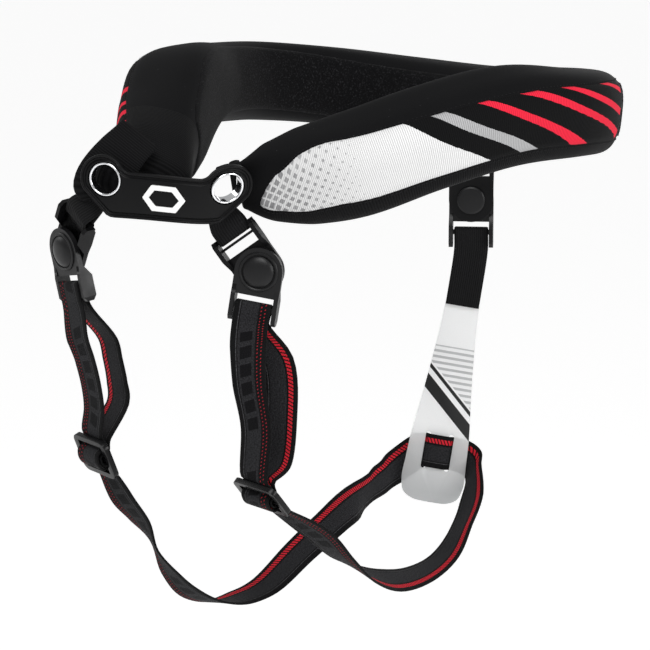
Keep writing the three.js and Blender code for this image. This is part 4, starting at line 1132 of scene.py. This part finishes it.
feed(shader, {
    "Base Color": add(tree, "Mix", {0: bars, 6: hatched, 7: "#121213"}, data_type="RGBA")[2],
    "Roughness": add(tree, "MapRange", {0: matt, 1: 0.3, 2: 0.7, 3: 0.3, 4: 0.42})[0],
    "Normal": add(tree, "Bump", {"Height": matt, "Distance": 0.03 * MM, "Strength": 0.4})[0]})
back_tab.data.materials.append(frosted)
dress(back_tab, "back_tab")

# Elastic straps
# Woven black elastic with a red figure by one edge: a loop under each front clip, the long run between the
# sliders through the back tab, and the short strap from the tab to the back clip. Each is one band.
STRAP_WIDE, STRAP_THICK = 19.6, 1.3
STRANDS = {  # free stretches between two fittings
    "leftFront": [(28.6, -117.4, -88.1), (32, -120.4, -105.8), (36.3, -119.9, -129.4)],
    "leftBack": [(35.6, -103.5, -150), (34.2, -98.2, -127), (28.8, -94.9, -98)],
    "rightFront": [(-58.6, -156.2, -87.6), (-52.7, -157.1, -98.5), (-48.3, -157.2, -111.4),
                   (-47.3, -156.2, -124.9)],
    "rightBack": [(-51.8, -133.4, -124.1), (-55.3, -130.5, -114.1), (-58.7, -130.0, -102.6),
                  (-61.0, -131.2, -91.7)],
    "rightRun": [(-41.5, -141.0, -176.4), (-36.8, -133.0, -188.9), (-33.2, -125.6, -203.9),
                 (-28.9, -117.2, -220.7), (-25.1, -105.8, -233.5), (-20.7, -90.5, -240.8),
                 (-17.5, -73.6, -241.7), (-15.3, -55.3, -238.5), (-14.2, -26.7, -224.3), (-10.9, 0, -210.1)],
    "leftRun": [(26.8, 78, -207.6), (33, 59.7, -220.6), (39.4, 36.8, -231.1), (44, 8.4, -234.6),
                (48.1, -23, -230.5), (50.8, -47.9, -220.6), (50.4, -65.9, -208.5), (47.8, -83.5, -192)],
}
# Turns round a clip's bar, a loop's sewn end, a slider's bars and the tab's slots, in each fitting's frame
LOWER_BAR_TURN = [(0, 30, -0.8), (0, 20, -0.8), (0, 17.6, -0.5), (0, 17.1, 1.8), (0, 17.6, 4.1), (0, 20, 4.4),
                  (0, 30, 4.4)]
SEWN_END = [(0, -1.6, -3.4), (0, -3.2, 0), (0, -2.2, 2.4), (0, 0, 3), (0, 2.2, 2.4), (0, 3.2, 0),
            (0, 3.6, -3.6), (0, 8, -6)]
SLIDER_TURN = [(0, 13, -2.8), (0, 8.6, -2.8), (0, 6.6, -2), (0, 5.6, 0), (0, 4.4, 3.6), (0, 0, 5),
               (0, -4.4, 3.6), (0, -5.6, 0), (0, -6.6, -2), (0, -8.7, -2.9)]
RUN_TURN = [(0, -9.2, -2.9), (0, -14, -2.9)]
TAB_TURN = [(-36, -28, 9), (-29, -20.5, 1.2), (-24, -15, -2.8), (-16.5, -7, -4), (-10.5, -1.2, -3),
            (-7.7, 0, -1.5), (-6.8, 0, 0), (-5.9, 0, 1.5), (-4, 0, 2.2), (4, 0, 2.2), (5.9, 0, 1.5),
            (6.8, 0, 0), (7.7, 0, -1.5), (10, 0, -2.4), (16.5, -1, -2.8), (21.5, -5, -0.5)]
SLIDER_EDGE = {"left": Vector((1, 0, 0)), "right": Vector((-1, 0, 0))}


def rows_between(points, first, last):
    """Rows through free points, the edge turning from one fitting's to the next."""
    made = []
    for i, p in enumerate(points):
        share = (i + 1) / (len(points) + 1)
        made.append((Vector(p), first.lerp(last, share).normalized(), STRAP_WIDE))
    return made


STRAP_TURNS = {  # degrees of the red edge from the left of the strap's course to a viewer at the front left
    "rightRun": [230, 238, 262, 240, 236, 258, 290, 310, 325, 335],
    "leftRun": [62, 64, 60, 62, 66, 90, 118, 134],
}


def rows_turned(name):
    """Rows of a free run, its edge turned as the table says."""
    viewer, points = facing(40, 8), [Vector(p) for p in STRANDS[name]]
    made = []
    for i, (p, turn) in enumerate(zip(points, STRAP_TURNS[name])):
        heading = (points[min(i + 1, len(points) - 1)] - points[max(i - 1, 0)]).normalized()
        left = viewer.cross(heading).normalized()
        turn = math.radians(turn)
        made.append((p, left * math.cos(turn) + heading.cross(left) * math.sin(turn), STRAP_WIDE))
    return made


# Woven elastic: ribbed black with a melange middle, tone-on-tone blocks and red dashes near one edge
elastic, tree, shader = finish_of("woven_elastic", {
    "Roughness": 0.78, "Specular IOR Level": 0.1, "Sheen Weight": 0.015, "Sheen Roughness": 0.4})
cloth_at = add(tree, "UVMap", uv_map="cloth")[0]
spots = add(tree, "SeparateXYZ", {0: cloth_at})
inner = add(tree, "Math", {0: spots[1], 1: FAR_FACE * 0.6}, operation="GREATER_THAN")[0]
across = add(tree, "Math", {0: inner, 1: -FAR_FACE, 2: spots[1]}, operation="MULTIPLY_ADD")[0]
across = add(tree, "Math", {0: across, 1: STRAP_WIDE}, operation="DIVIDE")[0]
STRAP_RIBS = 0.9  # mm from rib to rib of the weave
cords = add(tree, "TexWave", {"Vector": cloth_at, "Scale": wave_scale(STRAP_RIBS), "Distortion": 0.5},
            wave_type="BANDS", bands_direction="Y")[1]
picks = add(tree, "TexWave", {"Vector": cloth_at, "Scale": wave_scale(PICKS), "Distortion": 0.8},
            wave_type="BANDS", bands_direction="X")[1]
melange = add(tree, "TexNoise", {"Vector": cloth_at, "Scale": 1 / 0.9, "Detail": 3, "Roughness": 0.7})[0]
STRAP_ZONES = [(0, "#0a0a0b"), (0.15, "#38383a"), (0.175, "#0b0b0c"), (0.21, "#212123"), (0.68, "#0a0a0b")]
zones = add(tree, "ValToRGB", {0: across}, STRAP_ZONES)[0]
mixed = add(tree, "MapRange", {0: melange, 1: 0.32, 2: 0.68, 3: 0.3, 4: 1.6})[0]
body = add(tree, "VectorMath", {0: zones, 1: add(tree, "CombineXYZ", {0: mixed, 1: mixed, 2: mixed})[0]},
           operation="MULTIPLY")[0]
BLOCK, BLOCK_LONG = 9.5, 6.4  # mm from block to block of the woven row, and of one block
BLOCK_LOW, BLOCK_HIGH = 0.27, 0.6  # shares of the strap's width
BLOCKS_IN_ROW, BLOCKS_AND_SPACE = 6, 8  # blocks in a row, and as many as the row takes with its space
leant = add(tree, "Math", {0: across, 1: 4, 2: spots[0]}, operation="MULTIPLY_ADD")[0]
in_block = add(tree, "Math", {0: leant, 1: BLOCK}, operation="FLOORED_MODULO")[0]
in_block = add(tree, "Math", {0: in_block, 1: BLOCK_LONG}, operation="LESS_THAN")[0]
in_row = add(tree, "Math", {0: leant, 1: BLOCK * BLOCKS_AND_SPACE}, operation="FLOORED_MODULO")[0]
in_row = add(tree, "Math", {0: in_row, 1: BLOCK * BLOCKS_IN_ROW}, operation="LESS_THAN")[0]
over = add(tree, "Math", {0: across, 1: BLOCK_LOW}, operation="GREATER_THAN")[0]
under = add(tree, "Math", {0: across, 1: BLOCK_HIGH}, operation="LESS_THAN")[0]
faced = add(tree, "Math", {0: 1.0, 1: inner}, operation="SUBTRACT")[0]
block = in_block
for part in (in_row, over, under, faced):
    block = add(tree, "Math", {0: block, 1: part}, operation="MULTIPLY")[0]
blocks = add(tree, "Mix", {0: block, 6: body, 7: "#08080a"}, data_type="RGBA")[2]
DASH = 1.9  # mm from dash to dash of the red figure
RED_AT, RED_HALF, RED_GAP = 0.81, 0.07, 0.038  # strap widths: middle, half width, half the outer face's gap
slope = add(tree, "Math", {0: across, 1: STRAP_WIDE * 0.5, 2: spots[0]}, operation="MULTIPLY_ADD")[0]
dash = add(tree, "Math", {0: slope, 1: DASH}, operation="FLOORED_MODULO")[0]
dash = add(tree, "Math", {0: dash, 1: add(tree, "MapRange", {0: inner, 1: 0, 2: 1, 3: 0.6, 4: 1.2})[0]},
           operation="LESS_THAN")[0]
aside = add(tree, "Math", {0: across, 1: RED_AT}, operation="SUBTRACT")[0]
aside = add(tree, "Math", {0: aside}, operation="ABSOLUTE")[0]
near = add(tree, "Math", {0: aside, 1: RED_HALF}, operation="LESS_THAN")[0]
beside = add(tree, "Math", {0: aside, 1: RED_GAP}, operation="GREATER_THAN")[0]
column = add(tree, "Math", {0: beside, 1: inner}, operation="MAXIMUM")[0]
for part in (near, column):
    dash = add(tree, "Math", {0: dash, 1: part}, operation="MULTIPLY")[0]
red = add(tree, "Mix", {0: inner, 6: "#8e1a24", 7: "#b81f2c"}, data_type="RGBA")[2]
ridge = add(tree, "Math", {0: picks, 1: 0.5, 2: cords}, operation="MULTIPLY_ADD")[0]
feed(shader, {
    "Base Color": add(tree, "Mix", {0: dash, 6: blocks, 7: red}, data_type="RGBA")[2],
    "Normal": add(tree, "Bump", {"Height": ridge, "Distance": 0.22 * MM, "Strength": 0.6})[0]})

routes = {}
for side in ("left", "right"):
    edge = SLIDER_EDGE[side]
    at_slider = (slider_frame[side].to_3x3() @ edge).normalized()
    at_clip = (lower_frame[side].to_3x3() @ -edge).normalized()
    routes["strap_loop_" + side] = [
        *rows_in(slider_frame[side], SEWN_END, STRAP_WIDE, edge),
        *rows_between(STRANDS[side + "Back"], at_slider, at_clip),
        *rows_in(lower_frame[side], LOWER_BAR_TURN, STRAP_WIDE, -edge),
        *rows_between(STRANDS[side + "Front"], at_clip, at_slider),
        *rows_in(slider_frame[side], SLIDER_TURN, STRAP_WIDE, edge)]
routes["strap_run"] = [
    *rows_in(slider_frame["right"], RUN_TURN, STRAP_WIDE, SLIDER_EDGE["right"]),
    *rows_turned("rightRun"),
    *rows_in(tab_frame, TAB_TURN, STRAP_WIDE, (0, 1, 0)),
    *rows_turned("leftRun"),
    *rows_in(slider_frame["left"], RUN_TURN[::-1], STRAP_WIDE, SLIDER_EDGE["left"])]
SEWN_LOW, SEWN_HIGH = 86.5, 95  # up the tab, where both ends of the back strap hold it between them
sandwich = BACK_TAB_THICK / 2 + CLEAR + STRAP_THICK / 2
routes["back_strap"] = [
    *rows_in(tab_frame, [(0, SEWN_LOW, sandwich), (0, SEWN_HIGH, sandwich)], STRAP_WIDE),
    *rows_in(lower_frame["back"], LOWER_BAR_TURN, STRAP_WIDE),
    *rows_in(tab_frame, [(0, SEWN_HIGH, -sandwich), (0, SEWN_LOW, -sandwich)], STRAP_WIDE)]
STRAP_CUT = {  # length in metres, and what it hangs on
    "strap_loop_left": (0.258, ["clip_lower_left", "slider_left"]),
    "strap_loop_right": (0.240, ["clip_lower_right", "slider_right"]),
    "strap_run": (0.576, ["back_tab"]),
    "back_strap": (0.097, ["clip_lower_back", "back_tab"]),
}
for name, rows in routes.items():
    strap = band("woven_" + name, rows, STRAP_THICK, back=name in ("strap_loop_right", "strap_run"))
    strap.data.materials.append(grosgrain if name == "back_strap" else elastic)
    dress(strap, name)
    length, rests = STRAP_CUT[name]
